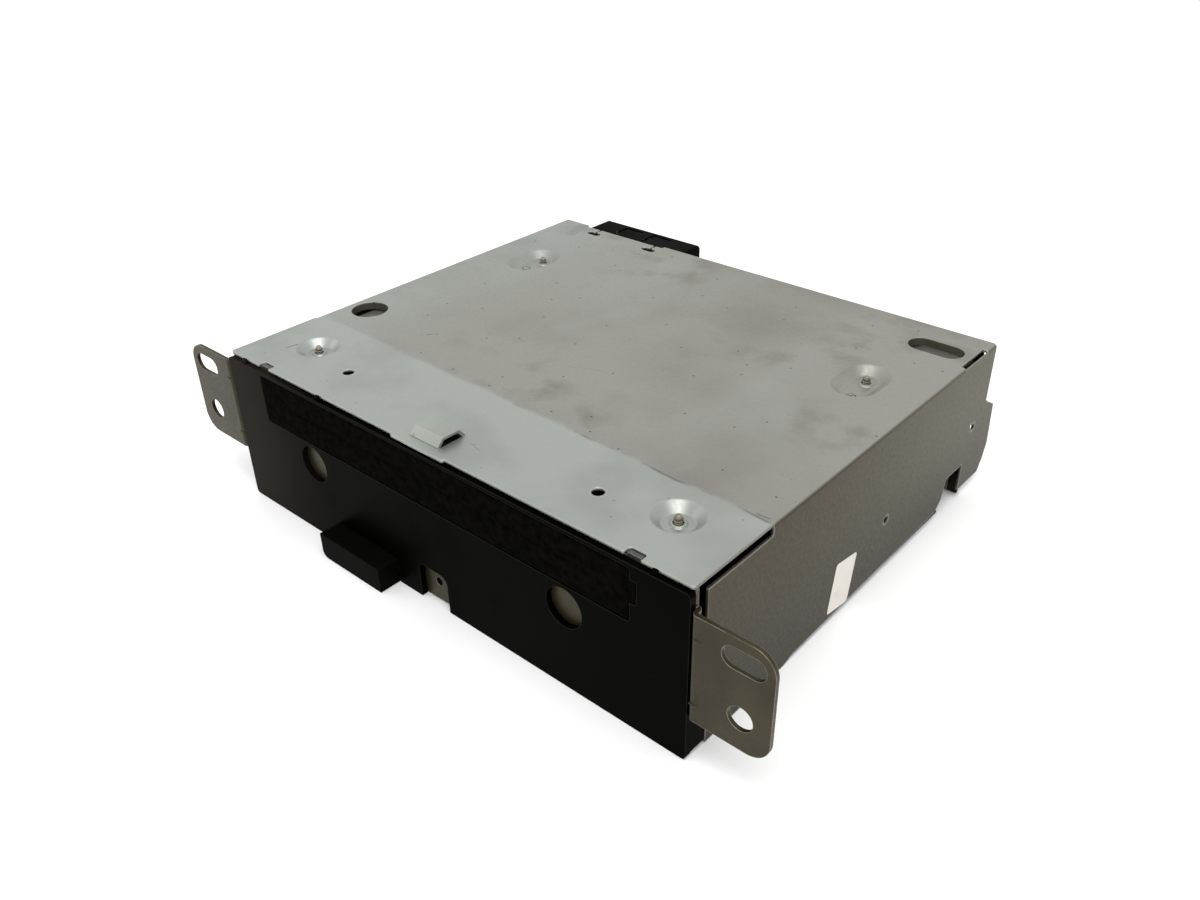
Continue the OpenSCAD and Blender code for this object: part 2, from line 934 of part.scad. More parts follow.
module cover_openings() {
  for (side = [-1, 1]) {
    move([side * dot_x, dot_y]) circle(dot_r);
    soft_rect([side * hook_x - notch_w / 2, -over - notch_r], [side * hook_x + notch_w / 2, notch_d],
      notch_r);
  }
  for (p = stud_points) move(p) circle(hang_hole_r);
  for (p = pilot_points) move(p) circle(pilot_r);
  move(round_hole) circle(round_hole_r);
  move(long_hole) slot_2d(long_hole_l, long_hole_w);
  rect([bridge_x, bridge_y + sheet_t], [bridge_x + bridge_w,
    bridge_y + 2 * bridge_ramp + bridge_run - sheet_t]);
  soft_rect([conn_left, case_d - recess_d], [conn_left + recess_w, case_d + 2 * over], recess_r);
  for (x = catch_xs) move([x, case_d - catch_back]) {
    slot_2d(catch_w, catch_d);
    move([-hook_neck_w / 2, 0]) square([hook_neck_w, catch_back + over]);
  }
}

module top_cover() {
  color("silver") put() {
    difference() {
      union() {
        sheet_xy(under_z, sheet_t) cover_top_outline();
        sheet_xz(slit_d, case_d - slit_d) cover_section();
        paired() side_panel();
        dimples(hang_z, under_z, press);
        sheet_xy(under_z - collar_d, collar_d + press) {
          move(round_hole) circle(round_hole_r + collar_t);
          move(long_hole) slot_2d(long_hole_l + 2 * collar_t, long_hole_w + 2 * collar_t);
        }
      }
      dimples(hang_z + sheet_t, case_h, over);
      sheet_xy(hang_z - over, case_h - hang_z + 2 * over) cover_openings();
      block([case_w / 2 - bend_slot_in - bend_slot_w, case_d - bend_slot_back - bend_slot_l,
        case_h - bend_r],
        [case_w / 2 - bend_slot_in, case_d - bend_slot_back, case_h + over]);
    }
    bridge();
    for (p = stud_points) difference() {
      rod_z(stud_collar_r, hang_z + sheet_t - press, hang_z + sheet_t + stud_collar_h, p.x, p.y);
      rod_z(hang_hole_r, hang_z, case_h, p.x, p.y);
    }
  }
}

// Tray, rear panel, screws
module bottom_tray() {
  color("darkgray") put() difference() {
    union() {
      sheet_xy(0, sheet_t) {
        rect([-tray_low_half, tray_front_y], [tray_low_half, tray_wide_y + over]);
        rect([-tray_half, tray_wide_y], [tray_half, tray_rear_y]);
      }
      paired() block([tray_half - sheet_t, flap_front, 0],
        [tray_half, flap_rear, flap_h]);
      block([-panel_half, tray_rear_y - sheet_t, 0], [panel_half, tray_rear_y, rear_flange_h]);
      for (side = [-1, 1], y = boss_ys) rod_z(boss_r, 0, board_z, side * boss_x, y);
    }
    paired() block([tray_half - tray_cut_w, case_d - gap_front, -over],
      [tray_half + over, tray_rear_y - sheet_t, sheet_t + over]);
    for (side = [-1, 1], y = boss_ys) rod_z(screw_r, sheet_t, board_z + over, side * boss_x, y);
    for (side = [-1, 1])
      rod_y(screw_r, tray_rear_y - sheet_t - over, tray_rear_y + over, side * rear_screw_x, rear_screw_z);
  }
}

module rear_panel() {
  color("dimgray") put() sheet_xz(panel_y, sheet_t) difference() {
    rect([-panel_half, 0], [panel_half, under_z - panel_gap]);
    rect([conn_left - conn_gap, conn_low_z - conn_gap],
      [conn_left + rear_conn_w + conn_gap, under_z]);
    for (side = [-1, 1]) move([side * rear_screw_x, rear_screw_z]) circle(screw_r);
    for (i = [0:vent_count - 1])
      move([vent_x + vent_pitch * i, vent_z]) rotate(90) slot_2d(vent_h, vent_w);
    move([long_hole.x, under_z]) square([long_hole_l, 2 * hang_head_r], center = true);
  }
}

// A round-head screw along Z: the head's underside is at z, the shank goes down
module screw_down(z, grip) {
  difference() {
    union() {
      move([0, 0, z]) cylinder(h = screw_head_h, r1 = screw_head_r, r2 = screw_head_r * 3 / 4);
      move([0, 0, z - grip]) cylinder(h = grip, r = screw_grip_r);
    }
    move([0, 0, z + screw_head_h]) {
      cube([2 * screw_head_r, screw_slot_w, 2 * screw_slot_d], center = true);
      cube([screw_slot_w, 2 * screw_head_r, 2 * screw_slot_d], center = true);
    }
  }
}

module board_screws() {
  color("lightgray") put() {
    for (side = [-1, 1], y = boss_ys)
      move([side * boss_x, y, 0]) screw_down(board_top, screw_grip);
    for (side = [-1, 1], y = servo_ys)
      move([side * servo_x, y, 0]) mirror([0, 0, 1]) screw_down(-servo_z, screw_grip);
  }
}

module rear_screws() {
  color("lightgray") put() for (side = [-1, 1])
    move([side * rear_screw_x, panel_y + sheet_t, rear_screw_z]) rotate([-90, 0, 0])
      screw_down(0, screw_grip);
}

module hanger_screws() {
  color("silver") put() for (p = stud_points) {
    rod_z(hang_head_r, flange_z - hang_head_h, flange_z, p.x, p.y);
    rod_z(hang_screw_r, flange_z - press, hang_z + sheet_t + hang_tip, p.x, p.y);
  }
}

// Front plate with both ears
module ear_bend(centre, turn) {
  move([centre.x, centre.y, ear_low]) rotate(turn) rotate_extrude(angle = 90)
    move([ear_in_r, 0]) square([plate_t, ear_high - ear_low]);
}

module ear_jog() {
  leg = plate_half + ear_in_r;
  ear_bend([plate_half, plate_y - ear_in_r], 0);
  block([leg, ear_back_y + ear_in_r, ear_low], [leg + plate_t, plate_y - ear_in_r, ear_high]);
  ear_bend([leg + plate_t + ear_in_r, ear_back_y + ear_in_r], 180);
}

module one_ear(root) {
  ear_jog();
  sheet_xz(ear_face_y, plate_t) difference() {
    union() {
      rect([root, ear_low], [ear_reach - ear_corner_r, ear_high]);
      soft_rect([(root + ear_reach) / 2 - ear_corner_r, ear_low], [ear_reach, ear_high], ear_corner_r);
    }
    move([ear_hole_x, ear_slot_z]) slot_2d(ear_slot_l, ear_slot_w);
    move([ear_hole_x, ear_hole_z]) circle(d = ear_hole_d);
  }
}

module front_plate() {
  ear_left_x = plate_half + 2 * ear_in_r + plate_t;
  color("darkkhaki") put() {
    sheet_xz(plate_y, plate_t) difference() {
      union() {
        rect([-plate_half, ear_low], [plate_half, plate_high]);
        rect([-plate_low_half, plate_low], [plate_low_half, plate_high]);
        for (side = [-1, 1])
          rect([side * hook_x - hook_w / 2, plate_high - over], [side * hook_x + hook_w / 2, hook_high]);
      }
      rect([-slot_w / 2 - slot_gap, disc_z - slot_h / 2 - slot_gap],
        [slot_w / 2 + slot_gap, disc_z + slot_h / 2 + slot_gap]);
      rect([block_left - block_gap, -over], [block_right + block_gap, block_h + block_gap]);
      move([(foot_left + foot_right) / 2, plate_hole_z]) circle(plate_hole_r);
      for (side = [-1, 1], z = face_post_zs)
        move([side * face_post_x, z]) circle(post_r + fit);
    }
    one_ear(ear_left_x);
    move([0, 0, ear_rise]) mirror([1, 0, 0]) one_ear(ear_left_x);
  }
}

// Fascia and foam dust seal
module seal_outline(gap) {
  soft_rect([seal_x - seal_w / 2 - gap, seal_low - gap],
    [seal_x + seal_w / 2 + gap, seal_low + seal_h + gap], seal_r + gap);
  soft_rect([seal_x + seal_w / 2 - seal_tab_w, seal_tab_low - gap],
    [seal_x + seal_w / 2 + seal_tab_w + gap, seal_tab_high + gap], seal_r);
}

module slot_opening() {
  rect([-slot_w / 2, disc_z - slot_h / 2], [slot_w / 2, disc_z + slot_h / 2]);
}

module foot_notch() {
  rect([foot_left, -over], [foot_right, foot_top - foot_r]);
  rect([foot_left + foot_small_r, -over], [foot_right - foot_r, foot_top]);
  move([foot_left + foot_small_r, foot_top - foot_small_r]) circle(foot_small_r);
  rect([foot_left, foot_top - foot_r - over], [foot_left + over, foot_top - foot_small_r]);
  move([foot_right - foot_r, foot_top - foot_r]) circle(foot_r);
}

module front_fascia() {
  color("black") put() {
    difference() {
      sheet_xz(face_y, fascia_wall) difference() {
        soft_rect([-fascia_w / 2, 0], [fascia_w / 2, fascia_h], face_corner_r);
        slot_opening();
        for (side = [-1, 1]) move([side * face_hole_x, face_hole_z]) circle(face_hole_r);
        foot_notch();
        rect([block_left - block_gap, -over], [block_right + block_gap, block_h + block_gap]);
      }
      sheet_xz(face_y - over, seal_recess + over) seal_outline(seal_edge_gap);
    }
    paired() block([fascia_w / 2 - side_wrap_t, face_back_y - over / 2, face_corner_r],
      [fascia_w / 2, side_wrap_d, side_wrap_h]);
    for (side = [-1, 1], z = face_post_zs)
      rod_y(post_r, face_back_y - press, plate_back_y + post_reach, side * face_post_x, z);
  }
}

module dust_seal() {
  color("dimgray") put() sheet_xz(face_y - seal_proud,
    seal_proud + seal_recess) difference() {
    seal_outline(0);
    slot_opening();
  }
}

module front_connector() {
  color("black") put() {
    sheet_xz(-front_reach, front_reach + face_back_y) difference() {
      union() {
        rect([block_left + block_r, 0], [block_right, block_h]);
        rect([block_left, block_r], [block_right, block_h]);
        move([block_left + block_r, block_r]) circle(block_r);
      }
    }
    block([block_left, face_back_y - over, sheet_t + press],
      [block_right, block_back, block_h]);
  }
}

module front_connector_pins() {
  pitch = (block_right - block_left) / (front_pin_count + 1);
  color("gold") put() for (i = [1:front_pin_count]) {
    x = block_left + pitch * i;
    block([x - front_pin_w / 2, block_back, front_pin_z],
      [x + front_pin_w / 2, block_back + front_pin_reach, front_pin_z + front_pin_w]);
    block([x - front_pin_w / 2, block_back + front_pin_reach - front_pin_w, front_pin_z],
      [x + front_pin_w / 2, block_back + front_pin_reach, board_z - press]);
  }
}

// Rear connector
function pin_x(i) = conn_left + conn_wall + (rear_conn_w - 2 * conn_wall) * (i + 0.5) / pin_columns;
function pin_z(k) = conn_low_z + (conn_top - conn_low_z) * (k + 1) / (pin_rows + 1);

module rear_connector() {
  rear_y = case_d + rear_conn_proud;
  color("black") put() {
    difference() {
      sheet_xz(conn_front, rear_y - conn_front)
        soft_rect([conn_left, conn_low_z], [conn_left + rear_conn_w, conn_top], conn_r);
      block([conn_left + conn_wall, conn_floor, conn_low_z + conn_wall],
        [conn_left + rear_conn_w - conn_wall, rear_y + over, conn_top - conn_wall]);
      for (share = groove_shares) {
        x = conn_left + rear_conn_w * share;
        run = rear_conn_w * groove_run_share;
        block([x, case_d + over / 2, conn_top - groove_d],
          [x + groove_w, rear_y - groove_back + groove_w / 2, conn_top + over]);
        block([x, rear_y - groove_back - groove_w / 2, conn_top - groove_d],
          [x + run, rear_y - groove_back + groove_w / 2, conn_top + over]);
      }
      for (i = [0:pin_columns - 1], k = [0:pin_rows - 1])
        move([pin_x(i), conn_floor, pin_z(k)])
          cube([pin_w + 2 * fit, 2 * (conn_floor - conn_front + over), pin_w + 2 * fit],
            center = true);
    }
    for (x = catch_xs) rod_z(catch_r, conn_top - over, case_h - catch_low, x,
      case_d - catch_back);
  }
}

module rear_connector_pins() {
  color("gold") put() for (i = [0:pin_columns - 1]) {
    x = pin_x(i);
    for (k = [0:pin_rows - 1])
      block([x - pin_w / 2, conn_tail_y, pin_z(k) - pin_w / 2],
        [x + pin_w / 2, conn_floor + pin_reach, pin_z(k) + pin_w / 2]);
    block([x - pin_w / 2, conn_tail_y, board_top + press],
      [x + pin_w / 2, conn_tail_y + pin_w, pin_z(pin_rows - 1)]);
  }
}

module side_label() {
  color("white") put() sheet_yz(case_w / 2 + press, label_t)
    move([label_y, label_z]) rotate(-label_tilt)
      soft_rect([-label_w / 2, -label_h / 2], [label_w / 2, label_h / 2], label_r);
}

// Boards
module main_board() {
  color("darkgreen") put() difference() {
    block([-board_half, board_front_y, board_z], [board_half, board_rear_y, board_top]);
    for (side = [-1, 1], y = boss_ys)
      rod_z(screw_r, board_z - over, board_top + over, side * boss_x, y);
  }
}

module chip(c, z) {
  sheet_xy(z, chip_h) soft_rect([c[0] - c[2] / 2, c[1] - c[3] / 2], [c[0] + c[2] / 2,
    c[1] + c[3] / 2], chip_r);
}

module board_chips() {
  color("dimgray") put() {
    for (c = chips) chip(c, board_top);
    chip(servo_chip, servo_z - chip_h);
  }
}

module board_capacitors() {
  color("slategray") put() for (c = caps) move([c[0], c[1], board_top]) {
    cylinder(h = cap_h - cap_bevel, r = c[2]);
    move([0, 0, cap_h - cap_bevel]) cylinder(h = cap_bevel, r1 = c[2], r2 = c[2] - cap_bevel);
  }
}

module ribbon_sockets() {
  color("ivory") put() {
    block([-socket_w / 2, socket_y, board_top], [socket_w / 2, socket_y + socket_d,
      board_top + socket_h]);
    block([-socket_w / 2, socket_y, servo_z - socket_h], [socket_w / 2, socket_y + socket_d, servo_z]);
  }
}

module ribbon_cable() {
  low = board_top + socket_h / 2;
  high = servo_z - socket_h / 2;
  r = (high - low) / 2;
  front = socket_y - ribbon_run;
  color("white") put() sheet_yz(-ribbon_half, 2 * ribbon_half) {
    rect([front, low - ribbon_t / 2], [socket_y - press, low + ribbon_t / 2]);
    rect([front, high - ribbon_t / 2], [socket_y - press, high + ribbon_t / 2]);
    move([front, low + r]) intersection() {
      difference() {
        circle(r + ribbon_t / 2);
        circle(r - ribbon_t / 2);
      }
      move([-2 * r, -2 * r]) square([2 * r, 4 * r]);
    }
  }
}

module servo_board() {
  color("darkgreen") put() difference() {
    block([-servo_half, servo_front_y, servo_z], [servo_half, servo_rear_y, servo_z + servo_t]);
    for (side = [-1, 1], y = servo_ys)
      rod_z(screw_r, servo_z - over, servo_z + servo_t + over, side * servo_x, y);
  }
}

// Mechanism frame
module deck_pin_windows() {
  for (y = deck_pin_ys) move([y, deck_pin_z])
    square([2 * (deck_pin_r + run_gap), 2 * (deck_pin_r + lock_gap)], center = true);
}

module left_wall_outline() {
  difference() {
    rect([frame_front, frame_low_z], [frame_rear, hang_z]);
    deck_pin_windows();
    rect([cam_y - cam_pin_r - run_gap, cam_z - cam_fall - cam_pin_r - run_gap],
      [cam_y + cam_pin_r + run_gap, cam_z + cam_pin_r + run_gap]);
    rect([lift_y - lift_half, lift_z - lift_r - lock_gap],
      [lift_y + lift_half, hang_z + over]);
    move([pivot_y, pivot_z]) circle(arm_pin_r + press);
    move([mode_gear_y, mode_z]) circle(pin_r + press);
    for (y = mode_ys) move([y, guide_pin_z]) circle(guide_pin_r + press);
  }
}

module right_wall_outline() {
  difference() {
    rect([frame_front, frame_low_z], [frame_rear, hang_z]);
    deck_pin_windows();
    rect([roller_y - shaft_r - run_gap, roller_z - roller_drop - shaft_r - run_gap],
      [roller_y + shaft_r + run_gap, roller_z + shaft_r + run_gap]);
    move([pivot_y, pivot_z]) circle(arm_pin_r + press);
    move([idler_y, pivot_z]) circle(pin_r + press);
    for (y = lock_ys) move([y, guide_pin_z]) circle(guide_pin_r + press);
  }
}

module mech_frame() {
  color("gainsboro") put() {
    difference() {
      union() {
        sheet_xy(frame_low_z, frame_t) rect([-wall_out, frame_front], [wall_out, frame_rear]);
        sheet_xy(flange_z, frame_t) {
          rect([-flange_x, frame_front], [-wall_x, frame_rear]);
          rect([wall_x, frame_front], [flange_x, flange_rear_y]);
        }
        sheet_xy(bar_z, frame_t) rect([-wall_x - frame_t / 2, bar_front_y], [wall_x + frame_t / 2,
          bar_rear_y]);
        for (side = [-1, 1], y = servo_ys)
          rod_z(screw_head_r, servo_z + servo_t, frame_low_z + press, side * servo_x, y);
      }
      sheet_xy(flange_z - over, frame_t + 2 * over) {
        for (p = stud_points) move(p) circle(hang_hole_r);
        rect([-deck_pin_end, lift_y - lift_half], [-wall_x + over,
          lift_y + lift_half]);
      }
      sheet_xy(bar_z - over, frame_t + 2 * over)
        for (side = [-1, 1]) move([side * dot_x, dot_y]) circle(guide_screw_r + fit);
      sheet_xy(servo_z, floor_z - servo_z + over) {
        for (side = [-1, 1], y = servo_ys)
          move([side * servo_x, y]) circle(screw_r);
        move([0, hub_y]) circle(floor_hole_r);
        move([0, link_y]) circle(link_pivot_r + press);
        soft_rect([-floor_gap_half, floor_gap_front], [floor_gap_half, floor_gap_rear], guide_r);
      }
    }
    sheet_yz(-wall_out, frame_t) left_wall_outline();
    sheet_yz(wall_x, frame_t) right_wall_outline();
  }
}

// Shoulder pins that are riveted into the frame
module guide_pin(y) {
  rod_x(guide_pin_r, wall_x, slider_x + slider_t + head_gap, y, guide_pin_z);
  rod_x(guide_head_r, slider_x + slider_t + head_gap, slider_x + slider_t + head_gap + guide_head_t, y,
    guide_pin_z);
}

module frame_pins() {
  color("silver") put() {
    rod_x(arm_pin_r, -wall_out, -arm_x + run_gap, pivot_y, pivot_z);
    rod_x(arm_pin_r, arm_x - run_gap, pulley_x - press, pivot_y, pivot_z);
    rod_x(thin_pin_r, pulley_x - over, pin_end, pivot_y, pivot_z);
    rod_x(pin_r, wall_x, pin_end, idler_y, pivot_z);
    rod_x(idler_shoulder_r, wall_out, big_gear_x - soft_gap, idler_y, pivot_z);
    rod_x(pin_r, -mode_pin_end, -wall_x, mode_gear_y, mode_z);
    for (y = lock_ys) guide_pin(y);
    mirror([1, 0, 0]) for (y = mode_ys) guide_pin(y);
    rod_z(link_pivot_r, link_z - head_gap, floor_z, 0, link_y);
    rod_z(link_head_r, link_z - head_gap - link_head_t, link_z - head_gap, 0, link_y);
  }
}

// Upper disc guide and the levers that feel the disc come in
module disc_guide() {
  color("lightgray") put() difference() {
    union() {
      sheet_xy(guide_z, guide_t) difference() {
        soft_rect([-guide_half, guide_front_y], [guide_half, guide_rear_y], guide_r);
        for (side = [-1, 1]) {
          x = side > 0 ? lever_notch_x : -guide_half - over;
          rect([x, lever_notch_front], [x + guide_half - lever_notch_x + over, lever_notch_rear]);
        }
      }
      block([-rib_half, rib_front_y, rib_z], [rib_half, rib_rear_y, guide_z + press]);
      for (side = [-1, 1]) {
        rod_z(guide_boss_r, guide_top_z - press, bar_z, side * dot_x, dot_y);
        rod_z(lever_post_r, guide_top_z - press, lever_z + lever_t + head_gap,
          side * lever_x, lever_y);
        rod_z(lever_head_r, lever_z + lever_t + head_gap, lever_z + lever_t + head_gap + lever_head_t,
          side * lever_x, lever_y);
      }
    }
    for (side = [-1, 1])
      rod_z(guide_screw_r + press, guide_z + guide_screw_grip - press, bar_z + over,
        side * dot_x, dot_y);
  }
}

module guide_screws() {
  color("black") put() for (side = [-1, 1]) {
    rod_z(guide_screw_r, guide_z + guide_screw_grip, bar_z + frame_t + press, side * dot_x,
      dot_y);
    rod_z(guide_cap_r, bar_z + frame_t, bar_z + frame_t + guide_cap_h,
      side * dot_x, dot_y);
  }
}

module disc_lever() {
  sheet_xy(lever_z, lever_t) difference() {
    union() {
      link_2d([lever_x, lever_y], [lever_pin_x, lever_pin_y], lever_half_w);
      move([lever_x, lever_y]) circle(lever_boss_r);
    }
    move([lever_x, lever_y]) circle(lever_post_r + fit);
  }
  rod_z(lever_pin_r, lever_pin_low, lever_z + press, lever_pin_x, lever_pin_y);
}

module left_disc_lever() {
  color("white") put() mirror([1, 0, 0]) disc_lever();
}

module right_disc_lever() {
  color("white") put() disc_lever();
}

// Floating deck
module deck_tab(y, left, right, low) {
  block([left, y, low], [right, y + rail_tab_t, deck_z + press]);
}

module deck_chassis() {
  rear_tab_y = lens_y + sled_travel + nut_half + over;
  color("silver") put() {
    difference() {
      union() {
        sheet_xy(deck_z, deck_t) soft_rect([-deck_half, deck_front_y], [deck_half, deck_rear_y], deck_r);
        for (side = [-1, 1], y = deck_pin_ys)
          rod_x(deck_pin_r, side > 0 ? deck_half - over : -deck_pin_end,
            side > 0 ? deck_pin_end : over - deck_half, y, deck_pin_z);
      }
      rod_z(can_neck_r + deck_hole_gap, deck_z - over, deck_top_z + over, 0, hub_y);
      block([-tower_half_x - window_gap, lens_y - tower_half_y - window_gap, deck_z - over],
        [tower_half_x + window_gap, lens_y + sled_travel + tower_half_y + window_gap, deck_top_z + over]);
    }
    paired() difference() {
      union() {
        sheet_yz(post_x, post_t) {
          rect([post_front_y, deck_top_z - press], [post_rear_y, hinge_z]);
          rect([post_front_y + over, hinge_z - press], [post_rear_y - over, post_top_z]);
        }
        deck_tab(rail_tab_y, rail_x - rail_tab_half, rail_x + rail_tab_half, rail_tab_low);
        deck_tab(rail_back_y, rail_x - rail_tab_half, rail_x + rail_tab_half, rail_tab_low);
      }
      rod_x(hinge_r + press, post_x - over, post_x + post_t + over, hinge_y, hinge_z);
      rod_y(rail_r + press, rail_tab_y - over, rail_back_y + rail_tab_t + over, rail_x, rail_z);
    }
    difference() {
      union() {
        deck_tab(rail_tab_y, screw_tab_left, screw_tab_right, screw_tab_low);
        deck_tab(rear_tab_y, screw_tab_left, screw_tab_right, screw_tab_low);
      }
      rod_y(journal_r + fit, rail_tab_y - over, rear_tab_y + rail_tab_t + over, screw_x, screw_z);
    }
    for (p = damper_points) rod_z(deck_stud_r, deck_z - deck_stud_l, deck_z + press, p.x, p.y);
  }
}

module dampers() {
  h = deck_z - floor_z;
  color("black") put() for (p = damper_points) move([p.x, p.y, floor_z]) difference() {
    union() {
      cylinder(h = damper_foot, r = damper_r);
      move([0, 0, damper_foot]) cylinder(h = h / 2 - damper_foot, r1 = damper_r, r2 = damper_waist_r);
      move([0, 0, h / 2]) cylinder(h = h / 2 - damper_foot, r1 = damper_waist_r, r2 = damper_r);
      move([0, 0, h - damper_foot]) cylinder(h = damper_foot, r = damper_r);
    }
    move([0, 0, h - deck_stud_l - damper_hole_gap])
      cylinder(h = deck_stud_l + damper_hole_gap + over, r = damper_hole_r);
  }
}

module suspension_springs() {
  color("silver") put() for (p = damper_points)
    move([p.x, p.y, floor_z]) coil(spring_r, spring_wire, spring_turns, deck_z - floor_z);
}

module spindle_motor() {
  color("silver") put() difference() {
    union() {
      rod_z(can_r, can_low, can_high, 0, hub_y);
      rod_z(can_neck_r, can_high - press, can_neck_high, 0, hub_y);
    }
    rod_z(spindle_r + fit, can_low - over, can_neck_high + over, 0, hub_y);
  }
}

module spindle_shaft() {
  color("silver") put() rod_z(spindle_r, spindle_low, seat_z + hub_h, 0, hub_y);
}

module turntable() {
  color("black") put() difference() {
    union() {
      rod_z(turntable_r, turntable_low, seat_z, 0, hub_y);
      rod_z(hub_r, seat_z - press, seat_z + hub_h - hub_bevel, 0, hub_y);
      move([0, hub_y, seat_z + hub_h - hub_bevel])
        cylinder(h = hub_bevel, r1 = hub_r, r2 = hub_r - hub_bevel);
    }
    rod_z(spindle_r + press, turntable_low - over, seat_z + hub_h + over, 0, hub_y);
  }
}

// Clamp arm and clamper, turned up from the clamping pose
module lifted() {
  move([0, hinge_y, hinge_z]) rotate([-clamp_tilt, 0, 0]) move([0, -hinge_y, -hinge_z]) children();
}

module clamp_arm_outline() {
  ear = clamp_ear_x + clamp_ear_t;
  difference() {
    union() {
      move([0, hub_y]) circle(clamp_round_r);
      polygon([
        [-clamp_round_r, hub_y], [clamp_round_r, hub_y], [clamp_mid_half, clamp_mid_y],
        [ear, clamp_wide_y], [ear, clamp_rear_y], [-ear, clamp_rear_y], [-ear, clamp_wide_y],
        [-clamp_mid_half, clamp_mid_y]]);
      rect([-lift_tab_x, lift_y - lift_tab_half], [0, lift_y + lift_tab_half]);
    }
    move([0, hub_y]) circle(clamp_neck_r + soft_gap);
    soft_rect([-clamp_window[0], clamp_window[1]], [clamp_window[0], clamp_window[2]], guide_r);
    rect([coil_x - coil_gap, hinge_y - clamp_ear_r - coil_gap], [coil_x + coil_l + coil_gap,
      clamp_rear_y + over]);
  }
}

module clamp_arm() {
  t = clamp_arm_t;
  color("silver") put() lifted() difference() {
    union() {
      intersection() {
        sheet_xy(clamp_arm_z - over, clamp_top - clamp_arm_z + 2 * over + t) clamp_arm_outline();
        sheet_yz(-lift_tab_x - over, 2 * (lift_tab_x + over)) polygon([
          [hub_y - clamp_round_r - over, clamp_arm_z],
          [clamp_step_front + t / 2, clamp_arm_z],
          [clamp_step_rear + t / 2, clamp_top],
          [clamp_rear_y, clamp_top],
          [clamp_rear_y, clamp_top + t],
          [clamp_step_rear - t / 2, clamp_top + t],
          [clamp_step_front - t / 2, clamp_arm_z + t],
          [hub_y - clamp_round_r - over, clamp_arm_z + t]]);
      }
      paired() rod_x(clamp_ear_r, clamp_ear_x, clamp_ear_x + clamp_ear_t, hinge_y, hinge_z);
      rod_x(lift_r, -lift_end, -lift_tab_x + over, lift_y, lift_z);
    }
    paired() rod_x(hinge_r + fit, clamp_ear_x - over, clamp_ear_x + clamp_ear_t + soft_gap,
      hinge_y, hinge_z);
  }
}

module clamp_hinge_pins() {
  pin_tip = post_x + post_t + head_gap;
  color("silver") put() {
    rod_x(hinge_r, -pin_tip, coil_x + coil_l, hinge_y, hinge_z);
    rod_x(hinge_r, clamp_ear_x - head_gap, pin_tip, hinge_y, hinge_z);
  }
}

module clamp_spring() {
  color("gray") put() {
    move([coil_x, hinge_y, hinge_z]) rotate([0, 90, 0])
      coil(coil_r, coil_wire, coil_turns, coil_l);
    rod_z(coil_wire, coil_leg_low, hinge_z, coil_x + coil_l - coil_wire, hinge_y + coil_r);
    rod_y(coil_wire, hinge_y - coil_leg, hinge_y, coil_x + coil_wire, hinge_z + coil_r);
  }
}

module clamper() {
  color("black") put() lifted() difference() {
    union() {
      rod_z(clamp_r, clamp_z, clamp_z + clamp_h, 0, hub_y);
      rod_z(clamp_neck_r, clamp_z + clamp_h - press, clamp_cap_z + press, 0, hub_y);
      rod_z(clamp_cap_r, clamp_cap_z, clamp_cap_z + clamp_cap_h, 0, hub_y);
    }
    rod_z(clamp_recess_r, clamp_z - over, clamp_z + clamp_recess_d, 0, hub_y);
    rod_z(magnet_r + press, clamp_cap_z + clamp_cap_h - magnet_h, clamp_cap_z + over, 0, hub_y);
  }
}

module clamper_magnet() {
  color("gray") put() lifted()
    rod_z(magnet_r, clamp_cap_z + clamp_cap_h - magnet_h, clamp_cap_z + clamp_cap_h, 0, hub_y);
}

// Pickup and its feed
module pickup_sled() {
  tooth_tip = screw_x + screw_core_r - screw_throw + tooth_gap;
  arm_end = screw_x + screw_core_r + screw_throw + nut_gap;
  color("dimgray") put() difference() {
    union() {
      sheet_xy(sled_low, sled_high - sled_low)
        soft_rect([-sled_half, sled_front_y], [sled_half, sled_rear_y], sled_r);
      block([-tower_half_x, lens_y - tower_half_y, sled_high - press],
        [tower_half_x, lens_y + tower_half_y, tower_high]);
      block([arm_end, lens_y - nut_half, screw_z - nut_half_z], [-sled_half + sled_r,
        lens_y + nut_half, screw_z + nut_half_z]);
      block([tooth_tip, lens_y - tooth_half, screw_z - tooth_half_z],
        [arm_end + press, lens_y + tooth_half, screw_z + tooth_half_z]);
    }
    rod_z(can_r + 2 * soft_gap, sled_low - over, sled_high + over, 0, hub_y);
    for (side = [-1, 1])
      rod_y(rail_r + rail_fit, sled_front_y - over, sled_rear_y + over, side * rail_x, rail_z);
    rod_z(lens_r + press, lens_low, tower_high + over, 0, lens_y);
  }
}

module objective_lens() {
  color("lightblue") put() {
    rod_z(lens_r, lens_low, lens_high - lens_bevel, 0, lens_y);
    move([0, lens_y, lens_high - lens_bevel]) cylinder(h = lens_bevel, r1 = lens_r,
      r2 = lens_r - lens_bevel);
  }
}

module guide_shafts() {
  color("silver") put() for (side = [-1, 1])
    rod_y(rail_r, rail_tab_y, rail_back_y + rail_tab_t, side * rail_x, rail_z);
}

module lead_screw() {
  rear_tab_y = lens_y + sled_travel + nut_half + over;
  start = lens_y - nut_half;
  run = sled_travel + 2 * nut_half;
  color("silver") put() {
    move([screw_x, start, screw_z]) rotate([-90, 0, 0])
      rotate(180 - 360 * nut_half / screw_pitch)
        linear_extrude(run, twist = -360 * run / screw_pitch,
          slices = round(screw_steps * run / screw_pitch), $fn = screw_fn)
          move([screw_throw, 0]) circle(screw_core_r, $fn = screw_fn);
    rod_y(journal_r, rail_tab_y - over / 2, start + press, screw_x, screw_z);
    rod_y(journal_r, start + run - press, rear_tab_y + rail_tab_t, screw_x, screw_z);
  }
}

